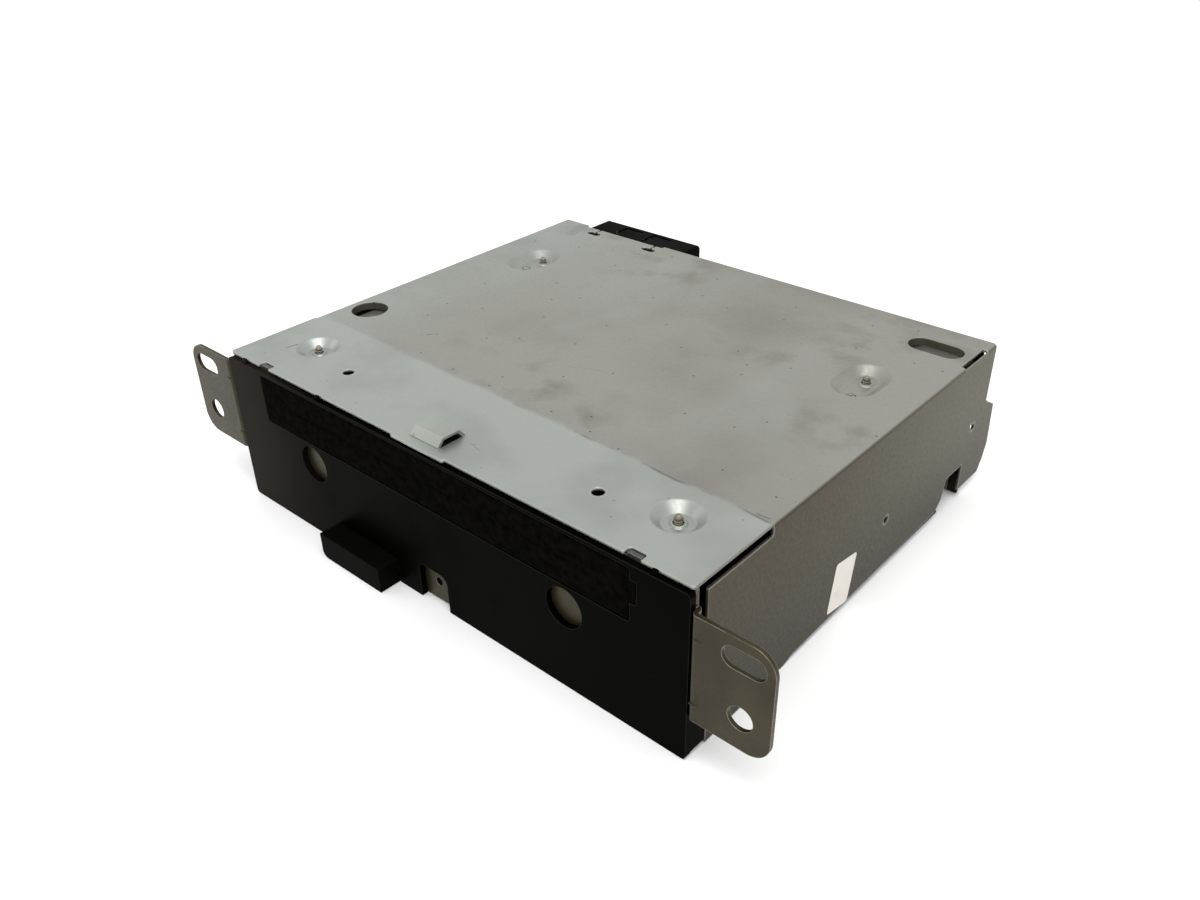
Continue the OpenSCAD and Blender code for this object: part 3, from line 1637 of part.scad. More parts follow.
module feed_motor() {
  color("silver") put() difference() {
    rod_y(feed_motor_r, rail_tab_y - feed_motor_l, rail_tab_y - press, screw_x, screw_z);
    rod_y(journal_r + fit, rail_tab_y - over, rail_tab_y + over, screw_x, screw_z);
  }
}

// Roller arm, roller and belt
module arm_side() {
  sheet_yz(arm_x, arm_t) difference() {
    union() {
      link_2d([roller_y, roller_z], [pivot_y, pivot_z], arm_pad_r);
      rect([web_front_y, web_z], [web_rear_y, pivot_z]);
    }
    move([roller_y, roller_z]) circle(bush_r + press);
    move([pivot_y, pivot_z]) circle(arm_pin_r + fit);
  }
}

module roller_arm() {
  color("silver") put() {
    paired() arm_side();
    sheet_xy(web_z, arm_t) rect([-arm_x - press, web_front_y], [arm_x + press, web_rear_y]);
    rod_x(cam_pin_r, -cam_pin_end, -arm_x - press, cam_y, cam_z);
  }
}

module roller_bushes() {
  color("white") put() paired() difference() {
    union() {
      rod_x(bush_flange_r, arm_x - bush_flange_t, arm_x, roller_y, roller_z);
      rod_x(bush_r, arm_x - press, arm_x + arm_t + bush_end, roller_y, roller_z);
    }
    rod_x(shaft_r + fit, arm_x - over, arm_x + arm_t + over, roller_y, roller_z);
  }
}

module roller_shaft() {
  color("silver") put() rod_x(shaft_r, -shaft_left, shaft_right, roller_y, roller_z);
}

module loading_roller() {
  color("dimgray") put() difference() {
    paired() move([0, roller_y, roller_z]) rotate([0, 90, 0])
      cylinder(h = roller_half, r1 = roller_r - roller_waist, r2 = roller_r);
    rod_x(shaft_r + press, -roller_half - over, roller_half + over, roller_y, roller_z);
  }
}

module pulley(y, z, bore) {
  difference() {
    union() {
      rod_x(pulley_r, pulley_x, pulley_x + pulley_side_t, y, z);
      rod_x(groove_r, pulley_x, pulley_x + pulley_w, y, z);
      rod_x(pulley_r, pulley_x + pulley_w - pulley_side_t, pulley_x + pulley_w, y, z);
    }
    rod_x(bore, pulley_x - over, pulley_x + pulley_w + over, y, z);
  }
}

module roller_pulley() {
  color("white") put() pulley(roller_y, roller_z, shaft_r + press);
}

module loading_belt() {
  color("black") put() sheet_yz(pulley_x + (pulley_w - belt_w) / 2, belt_w) difference() {
    link_2d([roller_y, roller_z], [pivot_y, pivot_z], groove_r + press + belt_t);
    link_2d([roller_y, roller_z], [pivot_y, pivot_z], groove_r + press);
  }
}

module transfer_gear() {
  bore = thin_pin_r + fit;
  color("ivory") put() {
    pulley(pivot_y, pivot_z, bore);
    difference() {
      rod_x(bore + hub_wall, pulley_x + pulley_w - press, gear_x + press, pivot_y, pivot_z);
      rod_x(bore, pulley_x, gear_x + over, pivot_y, pivot_z);
    }
    gear_x(transfer_teeth, 0, gear_x, gear_w, pivot_y, pivot_z, bore);
  }
}

module idler_gear() {
  color("ivory") put() {
    gear_x(idler_teeth, 0, big_gear_x, big_gear_w, idler_y, pivot_z, pin_r + fit);
    gear_x(pinion_teeth, facing(pinion_teeth), big_gear_x + big_gear_w - press,
      gear_x + gear_w - big_gear_x - big_gear_w + press, idler_y, pivot_z, pin_r + fit);
  }
}

module loading_pinion() {
  color("gold") put() gear_x(pinion_teeth, facing(pinion_teeth), big_gear_x, big_gear_w,
    load_motor_y, pivot_z, motor_shaft_r + fit);
}

// A small can motor with two flats, its shaft to -X
module can_motor(x, shaft_end, y, z) {
  sheet_yz(x + bracket_t + press, motor_l) move([y, z]) intersection() {
    circle(motor_r);
    square([motor_flat, 2 * motor_r], center = true);
  }
  rod_x(motor_boss_r, x + bracket_t - motor_boss_h, x + bracket_t + over, y, z);
  rod_x(motor_shaft_r, shaft_end, x + bracket_t, y, z);
  for (side = [-1, 1])
    block([x + bracket_t + motor_l - press, y + side * terminal_z - terminal_w / 2, z - terminal_t / 2],
      [x + bracket_t + motor_l + terminal_l, y + side * terminal_z + terminal_w / 2, z + terminal_t / 2]);
}

module loading_motor() {
  color("silver") put() can_motor(bracket_x, big_gear_x - motor_boss_h, load_motor_y, pivot_z);
}

module mode_motor() {
  color("silver") put() mirror([1, 0, 0])
    can_motor(bracket_x, mode_wheel_x - motor_boss_h, mode_motor_y, mode_z);
}

// One motor's bracket: up is 1 with the foot above the motor and -1 with it below
module bracket(y, z, up) {
  edge = z + up * bracket_w;
  foot_y = y - foot_front_gap;
  difference() {
    sheet_yz(bracket_x, bracket_t) rect([y - bracket_w, z - bracket_w], [y + bracket_w,
      z + bracket_w]);
    rod_x(motor_boss_r + bracket_hole_gap, bracket_x - over, bracket_x + bracket_t + over, y, z);
  }
  block([wall_out, foot_y, min(edge, edge - up * foot_t)],
    [bracket_x + press, y + bracket_w, max(edge, edge - up * foot_t)]);
  block([wall_out, foot_y, min(edge - up * foot_t, edge + up * foot_h)],
    [wall_out + foot_t, y + bracket_w, max(edge - up * foot_t, edge + up * foot_h)]);
}

module motor_brackets() {
  color("gainsboro") put() {
    bracket(load_motor_y, pivot_z, 1);
    mirror([1, 0, 0]) bracket(mode_motor_y, mode_z, -1);
  }
}

// Sliders, drawn on the right-hand side with their front at -Y
module slide_slot(y, z, back, front, half_z) {
  rect([y - back, z - half_z], [y + front, z + half_z]);
}

module deck_pin_lobe(y, back, front) {
  rect([y - back - lobe_wall, slider_top - over], [y + front + lobe_wall, lobe_top_z]);
}

module rack_tooth(y) {
  pitch = PI * gear_m;
  half = pitch / 4 - tooth_play / 2;
  tip = half - tip_share * gear_m * tan(pressure);
  root = half + (slider_low - pitch_z) * tan(pressure);
  polygon([
    [y - tip, pitch_z - tip_share * gear_m],
    [y + tip, pitch_z - tip_share * gear_m],
    [y + root, slider_low + press],
    [y - root, slider_low + press]]);
}

module mode_slider_outline() {
  pitch = PI * gear_m;
  back = mode_travel + deck_pin_r + run_gap;
  front = deck_pin_r + run_gap;
  teeth_back = ceil(mode_travel / pitch) + rack_ends;
  difference() {
    union() {
      rect([slider_front_y, slider_low], [slider_rear_y, slider_top]);
      rect([cam_lobe_front, slider_top - over],
        [cam_y + cam_pin_r + cam_gap + cam_lobe_wall, cam_z + cam_pin_r + cam_gap + cam_lobe_wall]);
      for (y = deck_pin_ys) deck_pin_lobe(y, back, front);
      polygon([
        [lift_y - mode_travel - ramp_flat, slider_top - over],
        [lift_y - mode_travel - ramp_flat, ramp_low_z],
        [lift_y - mode_travel, ramp_low_z],
        [lift_y, ramp_high_z],
        [lift_y + ramp_flat, ramp_high_z],
        [lift_y + ramp_flat, slider_top - over]]);
      for (k = [-teeth_back:rack_ends - 1]) rack_tooth(mode_gear_y + (k + 1 / 2) * pitch);
      rect([link_y - link_tab_half, link_tab_z], [link_y + link_tab_half, slider_low + over]);
    }
    for (y = deck_pin_ys) slide_slot(y, deck_pin_z, back, front, deck_pin_r + lock_gap);
    for (y = mode_ys)
      slide_slot(y, guide_pin_z, mode_travel + guide_pin_r + run_gap, guide_pin_r + run_gap,
        guide_pin_r + guide_pin_fit);
    link_2d([cam_y, cam_z], [cam_y - mode_travel, cam_z - cam_fall], cam_pin_r + cam_gap);
  }
}

module mode_slider() {
  color("silver") put() mirror([1, 0, 0]) {
    sheet_yz(slider_x, slider_t) mode_slider_outline();
    rod_z(link_pin_r, link_pin_low, link_tab_z + press, slider_x + slider_t / 2, link_y);
  }
}

module lock_slider_outline() {
  front = mode_travel + deck_pin_r + run_gap;
  back = deck_pin_r + run_gap;
  difference() {
    union() {
      rect([lock_front_y, slider_low], [lock_rear_y, slider_top]);
      for (y = deck_pin_ys) deck_pin_lobe(y, back, front);
      rect([link_y - link_tab_half, link_tab_z], [link_y + link_tab_half, slider_low + over]);
    }
    for (y = deck_pin_ys) slide_slot(y, deck_pin_z, back, front, deck_pin_r + lock_gap);
    for (y = lock_ys)
      slide_slot(y, guide_pin_z, guide_pin_r + run_gap, mode_travel + guide_pin_r + run_gap,
        guide_pin_r + guide_pin_fit);
  }
}

module lock_slider() {
  color("silver") put() {
    sheet_yz(slider_x, slider_t) lock_slider_outline();
    rod_z(link_pin_r, link_pin_low, link_tab_z + press, slider_x + slider_t / 2, link_y);
  }
}

module link_lever() {
  pin_x = slider_x + slider_t / 2;
  color("silver") put() sheet_xy(link_z, link_t) move([0, link_y]) difference() {
    union() {
      square([2 * (pin_x + link_tip), 2 * link_half_w], center = true);
      circle(link_boss_r);
    }
    circle(link_pivot_r + fit);
    for (side = [-1, 1]) move([side * (pin_x - link_fork_in), 0]) {
      circle(link_pin_r + link_gap);
      move([side > 0 ? 0 : -2 * link_fork_in - 2 * link_tip, -link_pin_r - link_gap])
        square([2 * link_fork_in + 2 * link_tip, 2 * (link_pin_r + link_gap)]);
    }
  }
}

module mode_gear() {
  color("white") put() mirror([1, 0, 0]) {
    gear_x(rack_wheel_teeth, 90, slider_x, rack_wheel_w, mode_gear_y, mode_z, pin_r + fit);
    sheet_yz(slider_x + rack_wheel_w - press, mode_wheel_x - slider_x - rack_wheel_w + 2 * press)
      move([mode_gear_y, mode_z]) difference() {
        circle(gear_m * rack_wheel_teeth / 2 - over);
        circle(pin_r + fit);
      }
    gear_x(mode_wheel_teeth, 0, mode_wheel_x, mode_wheel_w, mode_gear_y, mode_z, pin_r + fit);
  }
}

module mode_pinion() {
  color("gold") put() mirror([1, 0, 0])
    gear_x(pinion_teeth, facing(pinion_teeth), mode_wheel_x, mode_wheel_w, mode_motor_y, mode_z,
      motor_shaft_r + fit);
}

top_cover();
bottom_tray();
rear_panel();
front_plate();
front_fascia();
dust_seal();
front_connector();
front_connector_pins();
rear_connector();
rear_connector_pins();
side_label();
hanger_screws();
rear_screws();
main_board();
board_screws();
board_chips();
board_capacitors();
ribbon_sockets();
ribbon_cable();
servo_board();
mech_frame();
frame_pins();
disc_guide();
guide_screws();
left_disc_lever();
right_disc_lever();
deck_chassis();
dampers();
suspension_springs();
spindle_motor();
spindle_shaft();
turntable();
clamp_arm();
clamp_hinge_pins();
clamp_spring();
clamper();
clamper_magnet();
pickup_sled();
objective_lens();
guide_shafts();
lead_screw();
feed_motor();
roller_arm();
roller_bushes();
roller_shaft();
loading_roller();
roller_pulley();
loading_belt();
transfer_gear();
idler_gear();
loading_pinion();
loading_motor();
motor_brackets();
mode_slider();
lock_slider();
link_lever();
mode_gear();
mode_pinion();
mode_motor();
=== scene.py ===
# %% [markdown]
# A slot-loading car disc player
#
# The measured model comes in first and stays as it is. It is a steel case with a black front, two screw ears
# and a whole mechanism inside. This script gives every piece its finish, makes the soft and fine pieces anew,
# and sets up the floor, the light and the camera.

# %% Load the measured model
import math

import bmesh
import bpy
from mathutils import Matrix, Vector, noise


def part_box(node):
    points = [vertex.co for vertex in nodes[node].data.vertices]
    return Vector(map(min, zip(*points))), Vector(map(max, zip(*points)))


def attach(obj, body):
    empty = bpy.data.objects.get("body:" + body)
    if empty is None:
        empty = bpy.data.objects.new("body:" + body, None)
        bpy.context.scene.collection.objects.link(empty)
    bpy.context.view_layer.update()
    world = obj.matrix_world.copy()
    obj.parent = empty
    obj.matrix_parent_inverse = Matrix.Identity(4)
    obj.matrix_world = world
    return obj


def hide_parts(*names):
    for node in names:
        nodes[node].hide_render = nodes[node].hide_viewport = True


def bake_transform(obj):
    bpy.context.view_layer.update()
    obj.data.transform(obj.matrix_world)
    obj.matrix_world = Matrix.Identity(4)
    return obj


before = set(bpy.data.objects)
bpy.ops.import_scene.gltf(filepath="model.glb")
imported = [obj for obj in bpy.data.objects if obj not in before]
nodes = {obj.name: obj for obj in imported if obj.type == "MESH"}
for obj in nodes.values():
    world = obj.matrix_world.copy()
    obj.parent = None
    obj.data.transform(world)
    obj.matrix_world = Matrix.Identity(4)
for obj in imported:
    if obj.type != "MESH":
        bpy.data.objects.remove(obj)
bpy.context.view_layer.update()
print("loaded", len(nodes), "measured pieces")

# %% [markdown]
# The real sizes below are millimetres, counted from the middle of the case, from the front edge of its cover
# and from the floor. One small helper turns such a point into the model's own metres, so that every number
# in this file can be checked with a ruler.

# %% Millimetres to the model's metres
MM = 0.001
COVER_FRONT_EDGE = -77.3


def at(x, y, z):
    return Vector((x * MM, (y + COVER_FRONT_EDGE) * MM, z * MM))


print("the turntable's axis stands at", tuple(round(v, 4) for v in at(0, 70, 0)))

# %% [markdown]
# Camera
#
# The picture was taken from the front right, a forearm's length away, looking down at the case. A rather
# wide lens so close makes the front right ear large and the rear edge short. Place, turn and lens come from
# fitting straight edges of the case whose lengths are known.

# %% Camera
CAMERA_PLACE = (190.998, -143.592, 194.684)
CAMERA_TURN = (58.2431, 0.8985, 41.2574)
LENS, FILM_WIDTH = 31.73, 36

camera_data = bpy.data.cameras.new("camera")
camera_data.sensor_width = FILM_WIDTH
camera_data.lens = LENS
camera_data.clip_start = 0.01
camera = bpy.data.objects.new("camera", camera_data)
camera.location = at(*CAMERA_PLACE)
camera.rotation_euler = [math.radians(a) for a in CAMERA_TURN]
bpy.context.scene.collection.objects.link(camera)
bpy.context.scene.camera = camera
print("lens", LENS, "mm, camera at", tuple(round(v, 3) for v in camera.location))

# %% [markdown]
# Floor and light
#
# The object stands on a plain white sheet with nothing else near. A wide floor disc does for that. The
# light is a soft white room, one large lamp high above the front right, and a much weaker one at the left,
# so that the zinc gets a broad sheen and the black front stays dark.

# %% Floor
FLOOR_R = 6
FLOOR_GAP = 0.2 * MM

floor_mesh = bmesh.new()
bmesh.ops.create_circle(floor_mesh, cap_ends=True, segments=96, radius=FLOOR_R)
bmesh.ops.translate(floor_mesh, verts=floor_mesh.verts, vec=(0, 0, -FLOOR_GAP))
floor_data = bpy.data.meshes.new("floor")
floor_mesh.to_mesh(floor_data)
floor_mesh.free()
floor = bpy.data.objects.new("floor", floor_data)
bpy.context.scene.collection.objects.link(floor)
print("floor disc of", 2 * FLOOR_R, "metres")

# %% Light
ROOM_LIGHT = 1.0

world = bpy.data.worlds.new("room")
world.use_nodes = True
background = world.node_tree.nodes["Background"]
background.inputs["Color"].default_value = (1, 1, 1, 1)
background.inputs["Strength"].default_value = ROOM_LIGHT
bpy.context.scene.world = world
bpy.context.scene.view_settings.view_transform = "Standard"


def softbox(name, size, power, place):
    """A square lamp that looks at the model's middle."""
    lamp_data = bpy.data.lights.new(name, "AREA")
    lamp_data.shape = "RECTANGLE"
    lamp_data.size = lamp_data.size_y = size
    lamp_data.energy = power
    lamp = bpy.data.objects.new(name, lamp_data)
    lamp.location = place
    lamp.rotation_euler = Vector(place).to_track_quat("Z", "Y").to_euler()
    bpy.context.scene.collection.objects.link(lamp)


softbox("lamp_above", size=0.8, power=9.5, place=(0.3, -0.3, 1.25))
softbox("lamp_left", size=0.5, power=0.8, place=(-0.9, -0.5, 0.7))

# %% [markdown]
# Finishes
#
# Every finish is one Principled shader whose colour, roughness and bump come from noise laid out in the
# object's own space. The small class below only shortens the wiring: it adds a node, joins its sockets and
# returns its result.


# %% A helper that wires finishes
def from_screen(red, green, blue):
    """The linear colour of a screen colour from 0 to 255."""
    shares = (c / 255 for c in (red, green, blue))
    return tuple(v / 12.92 if v <= 0.04045 else ((v + 0.055) / 1.055) ** 2.4 for v in shares)


def opaque(red, green, blue):
    """The same, with the full alpha that a colour socket takes."""
    return (*from_screen(red, green, blue), 1)


class Finish:
    """One Principled material, with short names for the nodes that lead to it."""

    def __init__(self, name, color, metallic=0.0, roughness=0.5, **more):
        self.material = bpy.data.materials.new(name)
        self.material.use_nodes = True
        self.tree = self.material.node_tree
        self.shader = self.tree.nodes["Principled BSDF"]
        self.color = (*color, 1)
        sockets = {"Base Color": self.color, "Metallic": metallic, "Roughness": roughness}
        sockets.update({key.replace("_", " "): value for key, value in more.items()})
        for socket, value in sockets.items():
            self.shader.inputs[socket].default_value = value
        self.place = self.add("ShaderNodeTexCoord").outputs["Object"]
        parts = self.add("ShaderNodeSeparateXYZ", {"Vector": self.place})
        self.x, self.y, self.z = parts.outputs
        self.normal_from = None

    def add(self, kind, links=None, **settings):
        made = self.tree.nodes.new(kind)
        for key, value in settings.items():
            setattr(made, key, value)
        for socket, value in (links or {}).items():
            if isinstance(value, bpy.types.NodeSocket):
                self.tree.links.new(value, made.inputs[socket])
            else:
                made.inputs[socket].default_value = value
        return made

    def noise(self, scale, detail=2.0, stretch=(1, 1, 1), shift=(0, 0, 0)):
        laid = self.add("ShaderNodeMapping", {"Vector": self.place, "Scale": stretch, "Location": shift})
        return self.add("ShaderNodeTexNoise",
                        {"Vector": laid.outputs[0], "Scale": scale, "Detail": detail}).outputs[0]

    def dots(self, scale, stretch=(1, 1, 1)):
        """The distance to the nearest of many points strewn over the plane from above."""
        laid = self.add("ShaderNodeMapping", {"Vector": self.place, "Scale": stretch})
        return self.add("ShaderNodeTexVoronoi", {"Vector": laid.outputs[0], "Scale": scale},
                        voronoi_dimensions="2D").outputs[0]

    def ramp(self, value, start, end, low=0.0, high=1.0, smooth=False):
        kind = "SMOOTHSTEP" if smooth else "LINEAR"
        return self.add("ShaderNodeMapRange", {"Value": value, "From Min": start, "From Max": end,
                                               "To Min": low, "To Max": high},
                        interpolation_type=kind).outputs[0]

    def math(self, operation, first, second=0.0):
        return self.add("ShaderNodeMath", {0: first, 1: second}, operation=operation).outputs[0]

    def mix(self, share, first, second):
        return self.add("ShaderNodeMix", {0: share, 6: first, 7: second}, data_type="RGBA").outputs[2]

    def times(self, *values):
        product = values[0]
        for value in values[1:]:
            product = self.math("MULTIPLY", product, value)
        return product

    def most(self, first, second):
        return self.math("MAXIMUM", first, second)

    def rest(self, share):
        return self.math("SUBTRACT", 1.0, share)

    def near(self, across, along, start, end, view="top"):
        """One within start millimetres of a point seen from above or from the side, none beyond end."""
        if view == "top":
            first, second = (self.x, across * MM), (self.y, (along + COVER_FRONT_EDGE) * MM)
        else:
            first, second = (self.y, (across + COVER_FRONT_EDGE) * MM), (self.z, along * MM)
        squares = [self.math("POWER", self.math("SUBTRACT", *pair), 2) for pair in (first, second)]
        far = self.math("SQRT", self.math("ADD", *squares))
        return self.ramp(far, start * MM, end * MM, 1, 0)

    def dot(self, first, second):
        product = self.add("ShaderNodeVectorMath", {0: first, 1: second}, operation="DOT_PRODUCT")
        return product.outputs["Value"]

    def line(self, start, end, width):
        """A fine line between two points seen from above."""
        (x0, y0), (x1, y1) = start, end
        length = math.hypot(x1 - x0, y1 - y0)
        way = ((x1 - x0) / length, (y1 - y0) / length, 0)
        from_start = self.add("ShaderNodeVectorMath", {0: self.place, 1: tuple(at(x0, y0, 0))},
                              operation="SUBTRACT").outputs[0]
        along = self.dot(from_start, way)
        across = self.dot(from_start, (-way[1], way[0], 0))
        inside = self.ramp(self.math("ABSOLUTE", across), width * MM / 3, width * MM / 2, 1, 0)
        middle = self.math("ABSOLUTE", self.math("SUBTRACT", along, length * MM / 2))
        return self.times(inside, self.ramp(middle, length * MM * 0.35, length * MM / 2, 1, 0))

    def soften(self, radius, sharper=None, where=None):
        """Rounds the sharp edges of the shading by a radius in millimetres and returns a mask of the edges.

        A second, smaller radius holds where a mask says so.
        """
        rounded = self.add("ShaderNodeBevel", {"Radius": radius * MM}, samples=6).outputs[0]
        if where is not None:
            crisp = self.add("ShaderNodeBevel", {"Radius": sharper * MM}, samples=6).outputs[0]
            blend = self.add("ShaderNodeMix", {0: where, 4: rounded, 5: crisp}, data_type="VECTOR")
            rounded = blend.outputs[1]
        self.normal_from = rounded
        self.tree.links.new(rounded, self.shader.inputs["Normal"])
        flat = self.add("ShaderNodeNewGeometry").outputs["Normal"]
        return self.ramp(self.dot(rounded, flat), 0.8, 0.985, 1, 0)

    def paint(self, color):
        self.tree.links.new(color, self.shader.inputs["Base Color"])

    def gloss(self, roughness):
        self.tree.links.new(roughness, self.shader.inputs["Roughness"])

    def bump(self, height, strength, depth):
        links = {"Height": height, "Strength": strength, "Distance": depth}
        if self.normal_from is not None:
            links["Normal"] = self.normal_from
        self.normal_from = self.add("ShaderNodeBump", links).outputs[0]
        self.tree.links.new(self.normal_from, self.shader.inputs["Normal"])


def dress(finish, *names):
    """Gives measured nodes a finish."""
    for name in names:
        mesh = nodes[name].data
        if not mesh.materials:
            mesh.materials.append(finish.material)
        for index in range(len(mesh.materials)):
            mesh.materials[index] = finish.material


white_floor = Finish("white_floor", (0.92, 0.92, 0.92), roughness=0.9, Specular_IOR_Level=0.0)
grain = white_floor.noise(30, 3)
grain = white_floor.ramp(grain, 0.3, 0.7)
white_floor.paint(white_floor.mix(grain, (0.9, 0.9, 0.9, 1), (0.93, 0.93, 0.93, 1)))
floor.data.materials.append(white_floor.material)
print("finishes so far:", len(bpy.data.materials))

# %% [markdown]
# The zinc cover
#
# The cover is one sheet in bright zinc. Its front 30 mm are still clean and bluish, while the rest has gone
# a dull warm grey with dark specks. The border between them is a slightly slanted line, so the colour
# depends on the place: y for the two zones, x for the side panels, which are painted dark as shade, z for the
# bridge and the painted shade on the walls of the holes. Each mask below is laid over the colours before it,
# from the large zones down to the single scratch.

# %% Colours of the cover
CLEAN, CLEAN_DULL = opaque(153, 158, 153), opaque(146, 149, 143)
SOILED, STAIN_AND_STEP_SHADE, SMUDGED = opaque(142, 142, 135), opaque(127, 125, 117), opaque(114, 112, 104)
SIDE_SHADED, SIDE_SHADED_GREY, SIDE_LOW_SHADE = opaque(59, 52, 34), opaque(81, 76, 59), opaque(44, 40, 32)
CREAM, HOLE_WALL_SHADE = opaque(166, 162, 146), opaque(84, 79, 66)
# The dark speck colour also serves for painted shade at holes and at the bridge's foot.
BARE_EDGE_AND_HIGHLIGHT, DARK_SPECK_AND_SHADE = opaque(180, 178, 167), opaque(40, 38, 32)
print("clean zinc in linear light", tuple(round(v, 3) for v in CLEAN[:3]))

# %% [markdown]
# Holes and the bridge get crisper edges than the rolled bends, so their masks come first. The long hole is
# three round masks in a row.

# %% Soft and crisp edges
ROUND_HOLE = (-80, 46.6)
LONG_HOLE = ((71.7, 137.8), (80.3, 137.8), (76, 137.8))
BRIDGE = (-1.3, 7)

zinc = Finish("zinc_cover", from_screen(140, 143, 138), metallic=0.7, roughness=0.45)
holes = zinc.near(*ROUND_HOLE, 6.9, 7.1)
for place in LONG_HOLE:
    holes = zinc.most(holes, zinc.near(*place, 5.4, 5.6))
bridge = zinc.near(*BRIDGE, 9, 10)
edges = zinc.soften(0.9, sharper=0.3, where=zinc.most(holes, bridge))
print("holes with crisp edges: 2, and the bridge at", BRIDGE)

# %% [markdown]
# The soiled zone is three greys in layers: large stains, paler wipes along the case, and small dark
# smudges. It fades towards the left edge. A broken dirt line follows the right part of the border.

# %% Clean front and soiled rear
ZONE_EDGE = (32.2 + COVER_FRONT_EDGE) * MM
ZONE_SLANT = 0.02
ZONE_BLUR = 1.2 * MM

wobble = zinc.ramp(zinc.noise(60, 3), 0, 1, -ZONE_BLUR, ZONE_BLUR)
slant = zinc.times(zinc.x, ZONE_SLANT)
border = zinc.math("ADD", zinc.math("ADD", zinc.y, slant), wobble)
behind = zinc.ramp(border, ZONE_EDGE - ZONE_BLUR, ZONE_EDGE + ZONE_BLUR, smooth=True)
blotches = zinc.ramp(zinc.noise(34, 3, shift=(0.3, 0.1, 0)), 0.4, 0.62, smooth=True)
clean = zinc.mix(blotches, CLEAN, CLEAN_DULL)
clouds = zinc.ramp(zinc.noise(14, 5), 0.42, 0.68, smooth=True)
soiled = zinc.mix(clouds, SOILED, STAIN_AND_STEP_SHADE)
wipes = zinc.ramp(zinc.noise(26, 4, (1, 0.35, 1), (0.2, 0, 0)), 0.52, 0.7, smooth=True)
soiled = zinc.mix(zinc.times(wipes, 0.5), soiled, CLEAN_DULL)
smears = zinc.times(zinc.ramp(zinc.noise(75, 9, shift=(0.7, 0.4, 0)), 0.5, 0.68),
                    zinc.ramp(zinc.noise(17, 2, shift=(0.1, 0.9, 0)), 0.48, 0.6, smooth=True))
soiled = zinc.mix(zinc.times(smears, 0.75), soiled, SMUDGED)
ragged_x = zinc.math("ADD", zinc.x, zinc.times(wobble, 6))
fade_to_left = zinc.ramp(ragged_x, -0.085, -0.045, 0.4, 1, smooth=True)
top_color = zinc.mix(zinc.times(behind, fade_to_left), clean, soiled)
print("the border lies", round(ZONE_EDGE / MM, 1), "mm from the model's middle")

# %% [markdown]
# The bridge was pressed upwards, so its slopes are cream and streaked, and a thin painted shade lies round
# its foot. The rims of the two guide screw holes get a faint painted highlight.

# %% Bridge, rims and dirt line
GUIDE_HOLES = ((-49, 14.2), (49, 14.2))

# Painted highlight: a faint light ring round each guide screw hole.
for place in GUIDE_HOLES:
    top_color = zinc.mix(zinc.times(zinc.near(*place, 2.1, 2.6), 0.2), top_color, BARE_EDGE_AND_HIGHLIGHT)
raised = zinc.times(zinc.ramp(zinc.z, 0.0515, 0.0519), bridge)
streaks = zinc.ramp(zinc.noise(420, 3, (1, 0.12, 0.12)), 0.4, 0.62, 0.1, 0.7)
slope = zinc.ramp(zinc.z, 0.0537, 0.0534, 0.3, 1)
top_color = zinc.mix(zinc.times(raised, streaks, slope), top_color, CREAM)
# Painted shade: a thin dark line round the foot of the bridge.
bridge_foot_shade = zinc.times(bridge, zinc.ramp(zinc.z, 0.05143, 0.05146), zinc.ramp(zinc.z, 0.0518, 0.0516))
top_color = zinc.mix(zinc.times(bridge_foot_shade, 0.6), top_color, DARK_SPECK_AND_SHADE)
from_border = zinc.math("ABSOLUTE", zinc.math("SUBTRACT", border, ZONE_EDGE))
dirt_line = zinc.ramp(from_border, 0.0001, 0.0006, 1, 0)
broken = zinc.times(zinc.ramp(zinc.x, -0.02, 0.03), zinc.ramp(zinc.noise(120, 4), 0.46, 0.6))
top_color = zinc.mix(zinc.times(dirt_line, broken, 0.5), top_color, DARK_SPECK_AND_SHADE)
print("guide screw holes at", GUIDE_HOLES)

# %% [markdown]
# Small marks come last: a ring of painted shade beside two of the dimples, for pilot holes wider than the
# model's, a band of painted shade for a shallow step at the rear left corner, specks of two sizes and the
# scratches. Each scratch has its two ends, its width and how dark it is. The longest one is too faint to
# measure, so its place is a guess.

# %% Rings, specks and scratches
PILOT_HOLE_SHADES = ((69.6, 98.9), (-69.3, 109.0))
REAR_STEP_SHADE = ((-76.0, 138.0), (-78.6, 152.0))
SCRATCHES = (((-77.2, 11.9), (-76.5, 16.3), 0.4, 0.95), ((7.7, 10.0), (13.2, 8.8), 0.2, 0.5),
             ((-50.8, 45.6), (-49.4, 47.6), 0.4, 0.8), ((83.1, 31.1), (87.4, 31.4), 0.4, 0.6),
             ((-2.0, 58.0), (9.0, 63.0), 0.2, 0.3))

# Painted shade: a dark ring round each pilot hole, where the real hole is wider.
for place in PILOT_HOLE_SHADES:
    ring = zinc.times(zinc.near(*place, 1.45, 1.6), zinc.rest(zinc.near(*place, 1.1, 1.2)))
    top_color = zinc.mix(zinc.times(ring, 0.85), top_color, DARK_SPECK_AND_SHADE)
large_specks = zinc.ramp(zinc.dots(52), 0.012, 0.02, 1, 0)
small_specks = zinc.ramp(zinc.dots(150, (1, 1.2, 1)), 0.014, 0.024, 1, 0)
sparse = zinc.ramp(zinc.noise(40, 2, shift=(2, 0, 0)), 0.5, 0.56)
specks = zinc.most(large_specks, zinc.times(small_specks, sparse))
specks = zinc.times(specks, zinc.ramp(behind, 0, 1, 0.35, 0.85))
for start, end, width, depth in SCRATCHES:
    specks = zinc.most(specks, zinc.times(zinc.line(start, end, width), depth))
# Painted shade: a darker band where the cover steps down at the rear left corner.
top_color = zinc.mix(zinc.times(zinc.line(*REAR_STEP_SHADE, 5.0), 0.5), top_color, STAIN_AND_STEP_SHADE)
top_color = zinc.mix(specks, top_color, DARK_SPECK_AND_SHADE)
